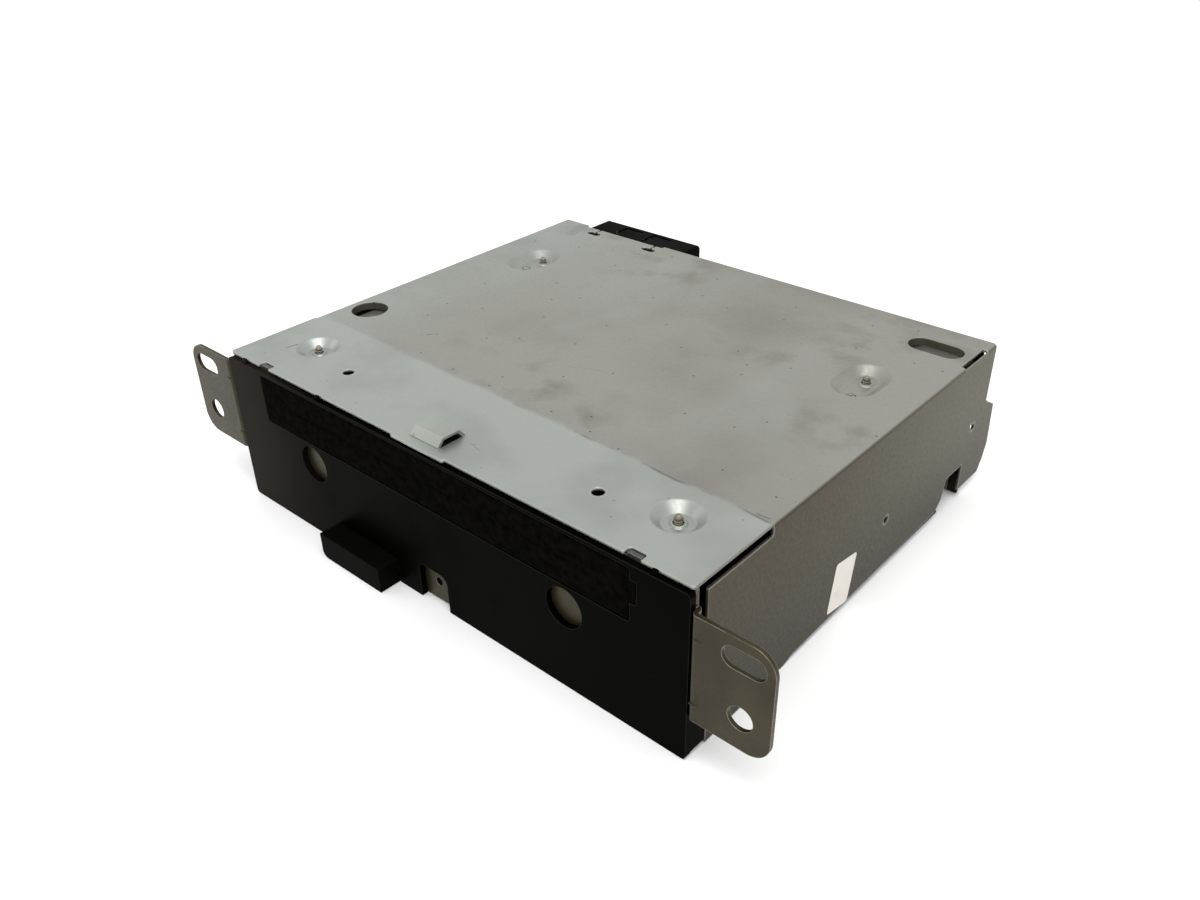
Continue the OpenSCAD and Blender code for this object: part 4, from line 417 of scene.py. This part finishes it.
# Painted shade: the walls of the round and long holes below the sheet's top are painted dark.
hole_wall_shade = zinc.times(holes, zinc.ramp(zinc.z, 0.0513, 0.0509))
top_color = zinc.mix(zinc.times(hole_wall_shade, 0.9), top_color, HOLE_WALL_SHADE)
print("scratches:", len(SCRATCHES))

# %% [markdown]
# The side panels are painted dark brown as shade, since they catch less light than the top, and painted
# darker still towards the floor. Each of the two small side holes has a painted dark rim for the shade inside
# it, in a faint painted highlight. The outward mask finds the outer faces by their distance from the middle.

# %% Side panels
SIDE_HOLES = ((144.7, 25.6), (91.0, 19.5))

# Painted shade: the side colour is darker than the top, and darker still towards the floor.
side_color = zinc.mix(zinc.ramp(zinc.y, -0.05, 0.07, smooth=True), SIDE_SHADED, SIDE_SHADED_GREY)
side_color = zinc.mix(zinc.ramp(zinc.z, 0.036, 0.004, 0, 0.6, smooth=True), side_color, SIDE_LOW_SHADE)
side_color = zinc.mix(zinc.times(small_specks, 0.5), side_color, DARK_SPECK_AND_SHADE)
kept_dark = 0.0
for place in SIDE_HOLES:
    # Painted highlight in the halo, and painted shade in the dark rim round each side hole.
    halo_highlight = zinc.near(*place, 1.5, 2.1, "side")
    rim = zinc.near(*place, 1.15, 1.3, "side")
    side_color = zinc.mix(rim, zinc.mix(zinc.times(halo_highlight, 0.3), side_color, BARE_EDGE_AND_HIGHLIGHT), DARK_SPECK_AND_SHADE)
    kept_dark = zinc.most(kept_dark, rim)
beside = zinc.math("ABSOLUTE", zinc.x)
outward = zinc.most(zinc.ramp(beside, 0.0884, 0.0889),
                    zinc.times(zinc.ramp(beside, 0.0868, 0.0874), zinc.ramp(zinc.z, 0.0494, 0.0486)))
print("side holes:", SIDE_HOLES)

# %% [markdown]
# Cut and bent edges are painted lighter, partly as bare bright metal and partly as painted highlight, except
# in the holes, and the bridge's top edges get a stronger painted highlight. The fine grain and a slow swell
# give the sheet its uneven sheen.

# %% Bare and highlit edges, gloss and grain
bare = zinc.times(edges, zinc.math("SUBTRACT", 0.6, zinc.times(kept_dark, 0.6)), zinc.rest(hole_wall_shade))
# Painted highlight along the top edges of the bridge.
bridge_rim_highlight = zinc.math("MINIMUM", 1.0, zinc.times(edges, 4.0))
bare = zinc.most(bare, zinc.times(bridge_rim_highlight, raised, zinc.ramp(zinc.z, 0.0525, 0.0532)))
zinc.paint(zinc.mix(bare, zinc.mix(outward, top_color, side_color), BARE_EDGE_AND_HIGHLIGHT))
fine = zinc.noise(900, 3)
sheen = zinc.ramp(zinc.most(behind, outward), 0, 1, 0.38, 0.48)
zinc.gloss(zinc.math("ADD", sheen, zinc.ramp(fine, 0.3, 0.7, -0.05, 0.05)))
zinc.bump(fine, 0.05, 0.0002)
zinc.bump(zinc.noise(12, 2), 0.06, 0.004)
dress(zinc, "top_cover")
print("the cover's finish has", len(zinc.tree.nodes), "nodes")

# %% [markdown]
# Other plated steel
#
# The front plate with the ears is passivated, which leaves a khaki film with faint rainbow patches. The inner
# sheets and the screws are plain zinc. They share one recipe: a base colour, clouds of a second colour and a
# fine sheet grain.


# %% Plated sheet
def plated(name, color, cloud, roughness=0.4, metallic=0.8, cloud_scale=30, grain_scale=900, grain_depth=0.1,
           edge=None, above=None, shaded_outside=None):
    sheet = Finish(name, color, metallic=metallic, roughness=roughness)
    clouds = sheet.ramp(sheet.noise(cloud_scale, 4), 0.38, 0.66, smooth=True)
    color = sheet.mix(clouds, (*color, 1), (*cloud, 1))
    # Painted highlight: above 49.8 mm the plate is painted a lighter grey, where its top and tabs catch
    # light.
    if above:
        height, tone = above
        color = sheet.mix(sheet.ramp(sheet.z, height * MM, (height + 0.3) * MM), color, (*tone, 1))
    # Painted shade: the outer flanks of the inner sheets are painted dark, inside the closed case.
    if shaded_outside:
        width, tone = shaded_outside
        shaded_flank = sheet.ramp(sheet.math("ABSOLUTE", sheet.x), width * MM, (width + 0.4) * MM)
        color = sheet.mix(shaded_flank, color, (*tone, 1))
    if edge:
        # Edges get a lighter colour in patches, partly wear and partly painted highlight.
        edge_wear_and_highlight = sheet.times(sheet.soften(0.35), sheet.ramp(sheet.noise(300, 3), 0.3, 0.55, 0.35, 1))
        color = sheet.mix(edge_wear_and_highlight, color, (*edge, 1))
    sheet.paint(color)
    fine = sheet.noise(grain_scale, 3)
    sheet.gloss(sheet.ramp(fine, 0.3, 0.7, roughness - 0.06, roughness + 0.06))
    sheet.bump(fine, grain_depth, 0.0002)
    return sheet


khaki = plated("khaki_plate", from_screen(59, 52, 35), from_screen(49, 43, 28), 0.42, 0.7, 50,
               edge=from_screen(150, 145, 128), above=(49.8, from_screen(78, 78, 72)))
# Painted shade on the inner sheets beyond 84.2 mm from the middle.
inner_zinc = plated("inner_zinc", from_screen(150, 150, 145), from_screen(128, 128, 122), 0.38,
                    shaded_outside=(84.2, from_screen(30, 28, 22)))
bright_steel = plated("bright_steel", from_screen(205, 205, 200), from_screen(175, 174, 168), 0.28, 0.9, 200)
turned_steel = plated("turned_steel", from_screen(212, 212, 210), from_screen(190, 190, 188), 0.2, 1.0, 120)
motor_can = plated("motor_can", from_screen(190, 190, 186), from_screen(172, 172, 168), 0.32, 0.9, 60)
spring_steel = plated("spring_steel", from_screen(150, 150, 150), from_screen(118, 116, 112), 0.3, 1.0, 300)
black_screw = plated("black_screw", from_screen(28, 28, 28), from_screen(40, 39, 37), 0.35, 0.5, 300)
magnet_finish = plated("magnet_finish", from_screen(105, 105, 108), from_screen(85, 85, 88), 0.4, 0.8, 200)
dress(khaki, "front_plate")
dress(inner_zinc, "bottom_tray", "rear_panel", "mech_frame", "deck_chassis", "motor_brackets", "clamp_arm")
dress(bright_steel, "rear_screws", "board_screws", "frame_pins", "clamp_hinge_pins", "roller_arm",
      "mode_slider", "lock_slider", "link_lever")
dress(turned_steel, "guide_shafts", "roller_shaft", "spindle_shaft", "lead_screw")
dress(motor_can, "loading_motor", "mode_motor", "feed_motor", "spindle_motor")
dress(spring_steel, "clamp_spring")
dress(black_screw, "guide_screws")
dress(magnet_finish, "clamper_magnet")
print("finishes so far:", len(bpy.data.materials))

# %% [markdown]
# Plastics, rubber, boards
#
# The fascia is a black moulding with a soft shine, a fine spark-eroded grain and some dust, and a painted
# reflection on its left part. The connectors are a duller black. The fascia and connector edges get a
# painted highlight. Inner mouldings are ivory or black acetal. One recipe again, with grain, dust and
# shine as its settings.


# %% Moulded plastic
def moulded(name, color, roughness=0.4, shine=0.4, grain_scale=1600, grain_depth=0.05, dust=0.0,
            dust_color=(0.25, 0.24, 0.21), edge=None, chips=None, left_reflection=None):
    plastic = Finish(name, color, roughness=roughness, Specular_IOR_Level=shine)
    fine = plastic.noise(grain_scale, 2)
    lie = plastic.ramp(plastic.noise(45, 5), 0.45, 0.75, smooth=True)
    settled = plastic.math("MULTIPLY", lie, dust)
    color = plastic.mix(settled, (*color, 1), (*dust_color, 1))
    # Painted reflection: the left part of the fascia is painted lighter and warmer.
    if left_reflection:
        painted_reflection = plastic.math("MULTIPLY", plastic.ramp(plastic.x, -0.04, -0.094, 0, 1, smooth=True),
                            plastic.ramp(lie, 0, 1, 0.75, 1.1))
        color = plastic.mix(painted_reflection, color, (*left_reflection, 1))
    if edge:
        # Painted highlight: the edges are painted lighter. The chips below are real wear.
        rim = plastic.soften(0.3)
        color = plastic.mix(plastic.times(rim, 0.7), color, (*edge, 1))
        if chips:
            broken = plastic.ramp(plastic.noise(330, 1), 0.66, 0.69)
            color = plastic.mix(plastic.times(rim, broken), color, (*chips, 1))
    plastic.paint(color)
    plastic.gloss(plastic.ramp(lie, 0, 1, roughness, min(1, roughness + 0.15)))
    plastic.bump(fine, grain_depth, 0.0002)
    return plastic


fascia_black = moulded("fascia_black", from_screen(3, 3, 2), 0.38, 0.01, 1400, 0.03, 0.001,
                       edge=from_screen(60, 57, 50), left_reflection=from_screen(38, 34, 29))
block_black = moulded("block_black", from_screen(7, 7, 6), 0.45, 0.01, 1200, 0.08, 0.003,
                      edge=from_screen(26, 25, 22), chips=from_screen(150, 140, 120))
inner_black = moulded("inner_black", from_screen(30, 30, 31), 0.45, 0.4)
ivory = moulded("ivory_acetal", from_screen(224, 220, 205), 0.35, 0.5)
white_acetal = moulded("white_acetal", from_screen(208, 208, 202), 0.35, 0.5)
grey_plastic = moulded("grey_plastic", from_screen(128, 128, 128), 0.4, 0.5)
dress(fascia_black, "front_fascia")
dress(block_black, "front_connector", "rear_connector")
dress(inner_black, "turntable", "clamper", "pickup_sled", "board_chips")
dress(ivory, "ribbon_sockets", "transfer_gear", "idler_gear", "mode_gear", "roller_pulley")
dress(white_acetal, "left_disc_lever", "right_disc_lever", "roller_bushes", "disc_guide")
dress(grey_plastic, "board_capacitors")

rubber_black = moulded("rubber_black", from_screen(34, 33, 32), 0.7, 0.25, 700, 0.2, 0.15, (0.12, 0.12, 0.11))

brass = plated("brass", (0.72, 0.5, 0.2), (0.6, 0.42, 0.17), 0.25, 1.0, 200)
dress(brass, "front_connector_pins", "rear_connector_pins", "loading_pinion", "mode_pinion")

board_green = Finish("board_green", from_screen(22, 84, 52), roughness=0.3, Coat_Weight=0.4)
tracks = board_green.ramp(board_green.noise(260, 0, (1, 0.12, 1)), 0.5, 0.52)
board_green.paint(board_green.mix(tracks, opaque(18, 72, 45), opaque(34, 104, 62)))
board_green.bump(tracks, 0.2, 0.0001)
dress(board_green, "main_board", "servo_board")

lens = Finish("lens_glass", (0.55, 0.7, 0.85), roughness=0.03, Transmission_Weight=0.9, IOR=1.5)
lens.bump(lens.noise(3000, 1), 0.01, 0.0001)
dress(lens, "objective_lens")
print("finishes so far:", len(bpy.data.materials))

# %% [markdown]
# The label on the right side
#
# A white paper label is stuck on the right side panel. It is left bare here. It has gone a little cream, with
# grey dirt at its edges.

# %% Bare label
paper = Finish("label_paper", from_screen(236, 234, 228), roughness=0.45, Coat_Weight=0.2)
stain = paper.ramp(paper.noise(180, 4), 0.5, 0.75)
paper.paint(paper.mix(paper.math("MULTIPLY", stain, 0.4), opaque(212, 207, 198),
                      opaque(178, 171, 156)))
paper.bump(paper.noise(900, 3), 0.08, 0.0001)
dress(paper, "side_label")
print("the label stays bare")


# %% [markdown]
# Pieces made here
#
# New pieces start as a bmesh, get shaped by its operators and end as an object at the origin. One helper
# turns the finished bmesh into such an object and gives it its finish. The piece rides on the body that is
# named. With None it rides on no single body.

# %% A helper that turns a bmesh into a piece
def piece(name, shape, finish, body, smooth=True):
    data = bpy.data.meshes.new(name)
    shape.to_mesh(data)
    shape.free()
    for polygon in data.polygons:
        polygon.use_smooth = smooth
    data.materials.append(finish.material)
    made = bpy.data.objects.new(name, data)
    bpy.context.scene.collection.objects.link(made)
    if body:
        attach(made, body)
    print(name, len(data.vertices), "points")
    return made


# %% [markdown]
# Foam dust seal
#
# A strip of black felted foam lies in a recess across the fascia and keeps dust out of the slot. Its lips
# meet where the disc goes in, and a small tab stands out at its right end. On the real strip the felt is
# lumpy, the edges are cut soft, and the slit is a thin line that starts a little way in from the ends. Here
# a flat box is cut into a fine grid, the slit is pressed in, and noise makes the lumps, because the mesh
# then carries the texture in any light.

# %% Foam dust seal
SEAL_LEFT, SEAL_RIGHT = -72.0, 71.5
SEAL_LOW, SEAL_HIGH = 33.5, 48.7
SEAL_BACK, SEAL_FACE = -0.68, -1.5
SLIT_MIDDLE, SLIT_REACH, SLIT_Z = -0.5, 58.5, 41.5
TAB_END, TAB_LOW, TAB_HIGH = 73.5, 39.3, 45.3
TAB_LAP = 0.3
FELT_CUT = 0.8
LUMP_DEPTH = 0.10
EDGE_DEPTH, EDGE_WIDTH = 0.35, 0.5
SLIT_DEPTH, SLIT_WIDTH = 0.45, 0.35

foam = Finish("foam_felt", from_screen(10, 9, 8), roughness=0.95, Specular_IOR_Level=0.01)
fluff = foam.ramp(foam.noise(420, 4), 0.35, 0.7)
foam.paint(foam.mix(fluff, opaque(4, 4, 3), opaque(12, 11, 9)))
foam.bump(foam.noise(2600, 4), 0.5, 0.0003)


def foam_slab(shape, left, right, low, high):
    """A flat box of foam, cut into a fine grid."""
    corners = bmesh.ops.create_cube(shape, size=1)["verts"]
    bmesh.ops.scale(shape, verts=corners,
                    vec=((right - left) * MM, (SEAL_BACK - SEAL_FACE) * MM, (high - low) * MM))
    bmesh.ops.translate(shape, verts=corners,
                        vec=at((left + right) / 2, (SEAL_BACK + SEAL_FACE) / 2, (low + high) / 2))
    for sideways, start, span in ((True, left, right - left), (False, low, high - low)):
        normal = Vector((1, 0, 0)) if sideways else Vector((0, 0, 1))
        count = int(span / FELT_CUT)
        for step in range(1, count):
            cut = start + span * step / count
            bmesh.ops.bisect_plane(shape, geom=shape.verts[:] + shape.edges[:] + shape.faces[:],
                                   plane_co=at(cut, 0, 0) if sideways else at(0, 0, cut), plane_no=normal)


def felt_dent(x, z, rim):
    """How far the felt's face lies behind the flat strip, from its lumps, its soft edge and the slit."""
    dent = LUMP_DEPTH * noise.fractal(Vector((x * 0.9, 3.1, z * 0.9)), 0.8, 2.2, 4)
    dent += EDGE_DEPTH * math.exp(-max(0, rim) / EDGE_WIDTH)
    if abs(x - SLIT_MIDDLE) < SLIT_REACH:
        dent += SLIT_DEPTH * math.exp(-((z - SLIT_Z) / SLIT_WIDTH) ** 2)
    return dent


seal = bmesh.new()
foam_slab(seal, SEAL_RIGHT - TAB_LAP, TAB_END, TAB_LOW, TAB_HIGH)
tab_corners = set(seal.verts)
foam_slab(seal, SEAL_LEFT, SEAL_RIGHT, SEAL_LOW, SEAL_HIGH)
face_y = (SEAL_FACE + SEAL_BACK) / 2 + COVER_FRONT_EDGE
for corner in seal.verts:
    x, y, z = corner.co / MM
    if y >= face_y:
        continue
    if corner in tab_corners:
        rim = min(TAB_END - x, z - TAB_LOW, TAB_HIGH - z)
    else:
        rim = min(x - SEAL_LEFT, SEAL_RIGHT - x, z - SEAL_LOW, SEAL_HIGH - z)
    corner.co.y += felt_dent(x, z, rim) * MM
seal_piece = piece("dust_seal_felt", seal, foam, "chassis")
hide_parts("dust_seal")

# %% [markdown]
# Turned pieces
#
# Screws, rubber mounts and rollers are all turned shapes. Each is drawn as half an outline, from the middle
# out, and spun once round its axis. Where the outline touches the axis the spin leaves doubled points, so
# these are merged before the normals are set outwards. A second helper makes the copies, because the four
# screws, the four mounts and the four springs are alike.

# %% Helpers for turned pieces
def turned(outline, steps=40):
    """Spins an outline of (radius, height) millimetres round the upright axis."""
    shape = bmesh.new()
    points = [shape.verts.new((radius * MM, 0, height * MM)) for radius, height in outline]
    lines = [shape.edges.new(pair) for pair in zip(points, points[1:])]
    bmesh.ops.spin(shape, geom=points + lines, cent=(0, 0, 0), axis=(0, 0, 1), dvec=(0, 0, 0), angle=math.tau,
                   steps=steps, use_merge=True)
    bmesh.ops.remove_doubles(shape, verts=shape.verts, dist=1e-6)
    bmesh.ops.recalc_face_normals(shape, faces=shape.faces)
    return shape


def repeat(shape, places):
    """Puts the shape at the first place and a copy at each other place."""
    first = shape.verts[:] + shape.edges[:] + shape.faces[:]
    start = shape.verts[:]
    for place in places[1:]:
        twin = bmesh.ops.duplicate(shape, geom=first)["geom"]
        bmesh.ops.translate(shape, verts=[v for v in twin if isinstance(v, bmesh.types.BMVert)], vec=place)
    bmesh.ops.translate(shape, verts=start, vec=places[0])


# %% [markdown]
# Hanger screws
#
# Four screws hold the mechanism under the cover, and their threaded ends stand up in the pressed dimples.
# They are small but catch the eye: a few grey turns with dark grooves, ending in a thinner plain tip. The
# measured screw is a plain rod, so it is made anew with rings for the thread. A mark on each point says
# whether it lies in a groove, and the finish reads it to paint shade into the grooves.

# %% Hanger screws
STUD_PLACES = ((-70, 18.8), (70, 18.8), (-67.2, 115.8), (69.3, 108))
low_corner, high_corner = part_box("hanger_screws")
screw_length = (high_corner.z - low_corner.z) / MM
HEAD_R, HEAD_H, CREST, ROOT, PITCH = 2.3, 1.3, 1.15, 0.82, 0.6
THREAD_LENGTH, TIP_LENGTH = 3.4, 0.55
outline = [(0, 0), (1.9, 0), (HEAD_R, 0.35), (HEAD_R, HEAD_H), (CREST, HEAD_H)]
height = screw_length - THREAD_LENGTH
while height + PITCH < screw_length - TIP_LENGTH:
    outline += [(CREST, height), (CREST, height + 0.14), (ROOT, height + 0.27), (ROOT, height + 0.46)]
    height += PITCH
outline += [(CREST, height), (0.78, screw_length - 0.5), (0.72, screw_length - 0.08), (0.62, screw_length),
            (0, screw_length)]
screw = turned(outline, 32)
groove_shade_mark = screw.verts.layers.float.new("groove_shade")
for corner in screw.verts:
    radius = math.hypot(corner.co.x, corner.co.y) / MM
    if abs(radius - ROOT) < 0.02 and corner.co.z > (HEAD_H + 0.3) * MM:
        corner[groove_shade_mark] = 1.0
repeat(screw, [at(x, y, low_corner.z / MM) for x, y in STUD_PLACES])

stud_steel = Finish("stud_steel", from_screen(150, 147, 136), metallic=0.8, roughness=0.35)
groove_shade = stud_steel.add("ShaderNodeAttribute", attribute_name="groove_shade").outputs["Fac"]
mottle = stud_steel.ramp(stud_steel.noise(700, 3), 0.35, 0.7)
stud_color = stud_steel.mix(mottle, opaque(158, 154, 140), opaque(120, 114, 98))
# Painted shade in the thread grooves.
stud_steel.paint(stud_steel.mix(stud_steel.times(groove_shade, 0.9), stud_color, opaque(38, 34, 26)))
stud_steel.bump(stud_steel.noise(2400, 2), 0.1, 0.0001)
screws = piece("hanger_screws_threaded", screw, stud_steel, "chassis")
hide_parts("hanger_screws")

# %% [markdown]
# Rubber mounts
#
# Four rubber mounts carry the floating deck. Each is a soft double cone with a stud pushed into its top. The
# rubber is moulded with a thin flange at both ends and two rounded bellows between them.

# %% Rubber mounts
MOUNT_PLACES = ((-46, 46), (46, 46), (-46, 130), (46, 130))
low_corner, high_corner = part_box("dampers")
tall = (high_corner.z - low_corner.z) / MM
FOOT_R, WAIST_R, BELLY_R, HOLE_R, HOLE_DEPTH = 4.2, 2.8, 3.5, 1.5, 6.2
outline = [(0, 0), (FOOT_R - 0.2, 0), (FOOT_R, 0.2), (FOOT_R, 1.7), (FOOT_R - 0.3, 2.0)]
for step in range(13):
    share = step / 12
    swell = abs(math.sin(share * math.tau))
    outline.append((WAIST_R + (BELLY_R - WAIST_R) * swell, 2.2 + (tall - 4.4) * share))
outline += [(FOOT_R - 0.3, tall - 2.0), (FOOT_R, tall - 1.7), (FOOT_R, tall - 0.2), (FOOT_R - 0.2, tall),
            (HOLE_R + 0.15, tall), (HOLE_R, tall - 0.15), (HOLE_R, tall - HOLE_DEPTH), (0, tall - HOLE_DEPTH)]
mount = turned(outline, 36)
repeat(mount, [at(x, y, low_corner.z / MM) for x, y in MOUNT_PLACES])
mounts = piece("rubber_mounts", mount, rubber_black, None)
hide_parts("dampers")
spring_low, spring_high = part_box("suspension_springs")
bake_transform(mounts)

# %% [markdown]
# Suspension springs
#
# Round each mount stands a soft spring of thin wire, closed at both ends so that it stands flat. It is
# drawn as the round section of the wire, which is spun upwards in three runs: a flat end turn, the open
# turns and the other end turn. Mounts and springs stand on the frame and carry the deck, so they ride on
# no single body.

# %% Suspension springs
SPRING_R, WIRE_R, OPEN_TURNS, STEPS_A_TURN = 5.1 * MM, 0.3 * MM, 4, 24
rise = spring_high.z - spring_low.z - 2 * WIRE_R
end_rise = 2.05 * WIRE_R
spring = bmesh.new()
bmesh.ops.create_circle(spring, segments=10, radius=WIRE_R)
bmesh.ops.rotate(spring, verts=spring.verts, cent=(0, 0, 0), matrix=Matrix.Rotation(math.pi / 2, 3, "X"))
bmesh.ops.translate(spring, verts=spring.verts, vec=(SPRING_R, 0, WIRE_R))
wire = spring.verts[:] + spring.edges[:]
for turns, climb in ((1, end_rise), (OPEN_TURNS, rise - 2 * end_rise), (1, end_rise)):
    steps = turns * STEPS_A_TURN
    wire = bmesh.ops.spin(spring, geom=wire, cent=(0, 0, 0), axis=(0, 0, 1), dvec=(0, 0, climb / steps),
                          angle=math.tau * turns, steps=steps, use_merge=False)["geom_last"]
bmesh.ops.holes_fill(spring, edges=[e for e in spring.edges if e.is_boundary], sides=0)
bmesh.ops.recalc_face_normals(spring, faces=spring.faces)
repeat(spring, [at(x, y, spring_low.z / MM) for x, y in MOUNT_PLACES])
springs = piece("coil_springs", spring, spring_steel, None)
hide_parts("suspension_springs")
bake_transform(springs)

# %% [markdown]
# Loading roller
#
# The roller that pulls the disc in is a rubber sleeve in two halves. Each half is thinner at the middle, so
# that only the disc's rim touches it. The ends are rounded, and a fine groove marks where the halves meet.

# %% Loading roller
low_corner, high_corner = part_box("loading_roller")
middle = (low_corner + high_corner) / 2
half_length = (high_corner.x - low_corner.x) / 2 / MM
END_R, MIDDLE_R, BORE_R = (high_corner.z - low_corner.z) / 2 / MM, 2.8, 1.27
right_half = [(BORE_R, 0.1), (MIDDLE_R - 0.15, 0.1), (MIDDLE_R, 0.25)]
right_half += [(MIDDLE_R + (END_R - MIDDLE_R) * step / 8, half_length * step / 8) for step in range(1, 8)]
right_half += [(END_R - 0.05, half_length - 0.4), (END_R - 0.2, half_length - 0.1)]
right_half += [(END_R - 0.45, half_length), (BORE_R, half_length), (BORE_R, 0.1)]
roller = turned(right_half, 48)
bmesh.ops.rotate(roller, verts=roller.verts, cent=(0, 0, 0), matrix=Matrix.Rotation(math.pi / 2, 3, "Y"))
bmesh.ops.mirror(roller, geom=roller.verts[:] + roller.edges[:] + roller.faces[:], matrix=Matrix.Identity(4),
                 merge_dist=-1, axis="X")
bmesh.ops.translate(roller, verts=roller.verts, vec=middle)
bmesh.ops.recalc_face_normals(roller, faces=roller.faces)
roller_piece = piece("rubber_roller", roller, rubber_black, "roller")
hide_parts("loading_roller")

# %% [markdown]
# Loading belt
#
# A small square belt runs from the pulley on the lever's pivot to the pulley on the roller. It is a circle
# that is pulled apart into a loop, given its width and then its thickness.

# %% Loading belt
low_corner, high_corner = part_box("loading_belt")
BELT_T, BELT_TURN_R = 0.8 * MM, 4.32 * MM
roller_axis = Vector((0, low_corner.y + BELT_TURN_R, high_corner.z - BELT_TURN_R))
pivot_axis = Vector((0, high_corner.y - BELT_TURN_R, low_corner.z + BELT_TURN_R))
belt = bmesh.new()
bmesh.ops.create_circle(belt, segments=64, radius=BELT_TURN_R)
bmesh.ops.rotate(belt, verts=belt.verts, cent=(0, 0, 0), matrix=Matrix.Rotation(math.pi / 2, 3, "Y"))
run = (pivot_axis - roller_axis).normalized()
pulled = [v for v in belt.verts if v.co.dot(run) > 1e-6]
bmesh.ops.translate(belt, verts=belt.verts, vec=roller_axis + Vector((low_corner.x, 0, 0)))
bmesh.ops.translate(belt, verts=pulled, vec=pivot_axis - roller_axis)
wide = bmesh.ops.extrude_edge_only(belt, edges=belt.edges)["geom"]
bmesh.ops.translate(belt, verts=[v for v in wide if isinstance(v, bmesh.types.BMVert)],
                    vec=(high_corner.x - low_corner.x, 0, 0))
bmesh.ops.recalc_face_normals(belt, faces=belt.faces)
bmesh.ops.solidify(belt, geom=belt.faces[:], thickness=BELT_T)
bmesh.ops.recalc_face_normals(belt, faces=belt.faces)
belt_piece = piece("rubber_belt", belt, rubber_black, "roller_lever", smooth=False)
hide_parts("loading_belt")

# %% [markdown]
# Ribbon cable
#
# A flat white cable joins the two boards. It leaves one socket, turns once and enters the other. Its side
# view is drawn as a line, pulled out to the cable's width and given its thickness. The finish shows the
# copper strips as faint lines one millimetre apart.

# %% Ribbon cable
low_corner, high_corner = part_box("ribbon_cable")
RIBBON_T = 0.3 * MM
TURN_STEPS = 24
turn_r = (high_corner.z - low_corner.z - RIBBON_T) / 2
turn_y = low_corner.y + turn_r + RIBBON_T / 2
turn_z = (low_corner.z + high_corner.z) / 2
ribbon = bmesh.new()
line = [(high_corner.y, turn_z - turn_r)]
angles = [math.pi * step / TURN_STEPS for step in range(TURN_STEPS + 1)]
line += [(turn_y - turn_r * math.sin(a), turn_z - turn_r * math.cos(a)) for a in angles]
line.append((high_corner.y, turn_z + turn_r))
points = [ribbon.verts.new((low_corner.x, y, z)) for y, z in line]
sides = [ribbon.edges.new(pair) for pair in zip(points, points[1:])]
wide = bmesh.ops.extrude_edge_only(ribbon, edges=sides)["geom"]
bmesh.ops.translate(ribbon, verts=[v for v in wide if isinstance(v, bmesh.types.BMVert)],
                    vec=(high_corner.x - low_corner.x, 0, 0))
bmesh.ops.recalc_face_normals(ribbon, faces=ribbon.faces)
bmesh.ops.solidify(ribbon, geom=ribbon.faces[:], thickness=RIBBON_T)
bmesh.ops.recalc_face_normals(ribbon, faces=ribbon.faces)

ribbon_white = Finish("ribbon_white", from_screen(226, 226, 220), roughness=0.4, Specular_IOR_Level=0.4)
wave = ribbon_white.math("SINE", ribbon_white.times(ribbon_white.x, math.pi / MM))
strip = ribbon_white.math("ABSOLUTE", wave)
shade = ribbon_white.ramp(strip, 0.35, 0.6)
ribbon_white.paint(ribbon_white.mix(shade, opaque(230, 230, 226), opaque(186, 184, 178)))
ribbon_white.bump(strip, 0.3, 0.0001)
ribbon_piece = piece("ribbon_strip", ribbon, ribbon_white, "chassis", smooth=False)
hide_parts("ribbon_cable")

# %% [markdown]
# Beads in the ear bends
#
# Two small ribs are pressed across the bend of each ear to stiffen it. They are far too small for the
# measured model, but they catch the light in the photograph. Each one is a stretched ball that sinks into
# the sheet.

# %% Beads in the ear bends
BEADS = ((-91.0, 41.6), (-90.7, 22.4), (91.0, 38.6), (90.7, 19.4))
BEAD_SHAPE, BEAD_SUNK = (1.4, 0.35, 0.4), 0.05
EAR_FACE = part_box("front_plate")[0].y / MM - COVER_FRONT_EDGE

beads = bmesh.new()
for x, z in BEADS:
    ball = bmesh.ops.create_uvsphere(beads, u_segments=16, v_segments=10, radius=MM)["verts"]
    bmesh.ops.scale(beads, verts=ball, vec=BEAD_SHAPE)
    bmesh.ops.translate(beads, verts=ball, vec=at(x, EAR_FACE + BEAD_SUNK, z))
piece("ear_beads", beads, khaki, "chassis")

# %% [markdown]
# Nubs of the fascia
#
# Three small black nubs of the fascia stand in the gap before the cover's front edge and keep it in its
# place.

# %% Nubs of the fascia
NUBS = (-80.6, -44.2, 78.4)
NUB_SIZE, NUB_ROUND, NUB_Y, NUB_Z = (1.5 * MM, 0.9 * MM, 1.7 * MM), 0.3 * MM, -0.5, 50.7

nubs = bmesh.new()
for x in NUBS:
    cube = bmesh.ops.create_cube(nubs, size=1)["verts"]
    bmesh.ops.scale(nubs, verts=cube, vec=NUB_SIZE)
    bmesh.ops.translate(nubs, verts=cube, vec=at(x, NUB_Y, NUB_Z))
bmesh.ops.bevel(nubs, geom=nubs.edges[:], offset=NUB_ROUND, offset_type="OFFSET", segments=3, profile=0.5,
                affect="EDGES", material=-1)
piece("fascia_nubs", nubs, fascia_black, "chassis")
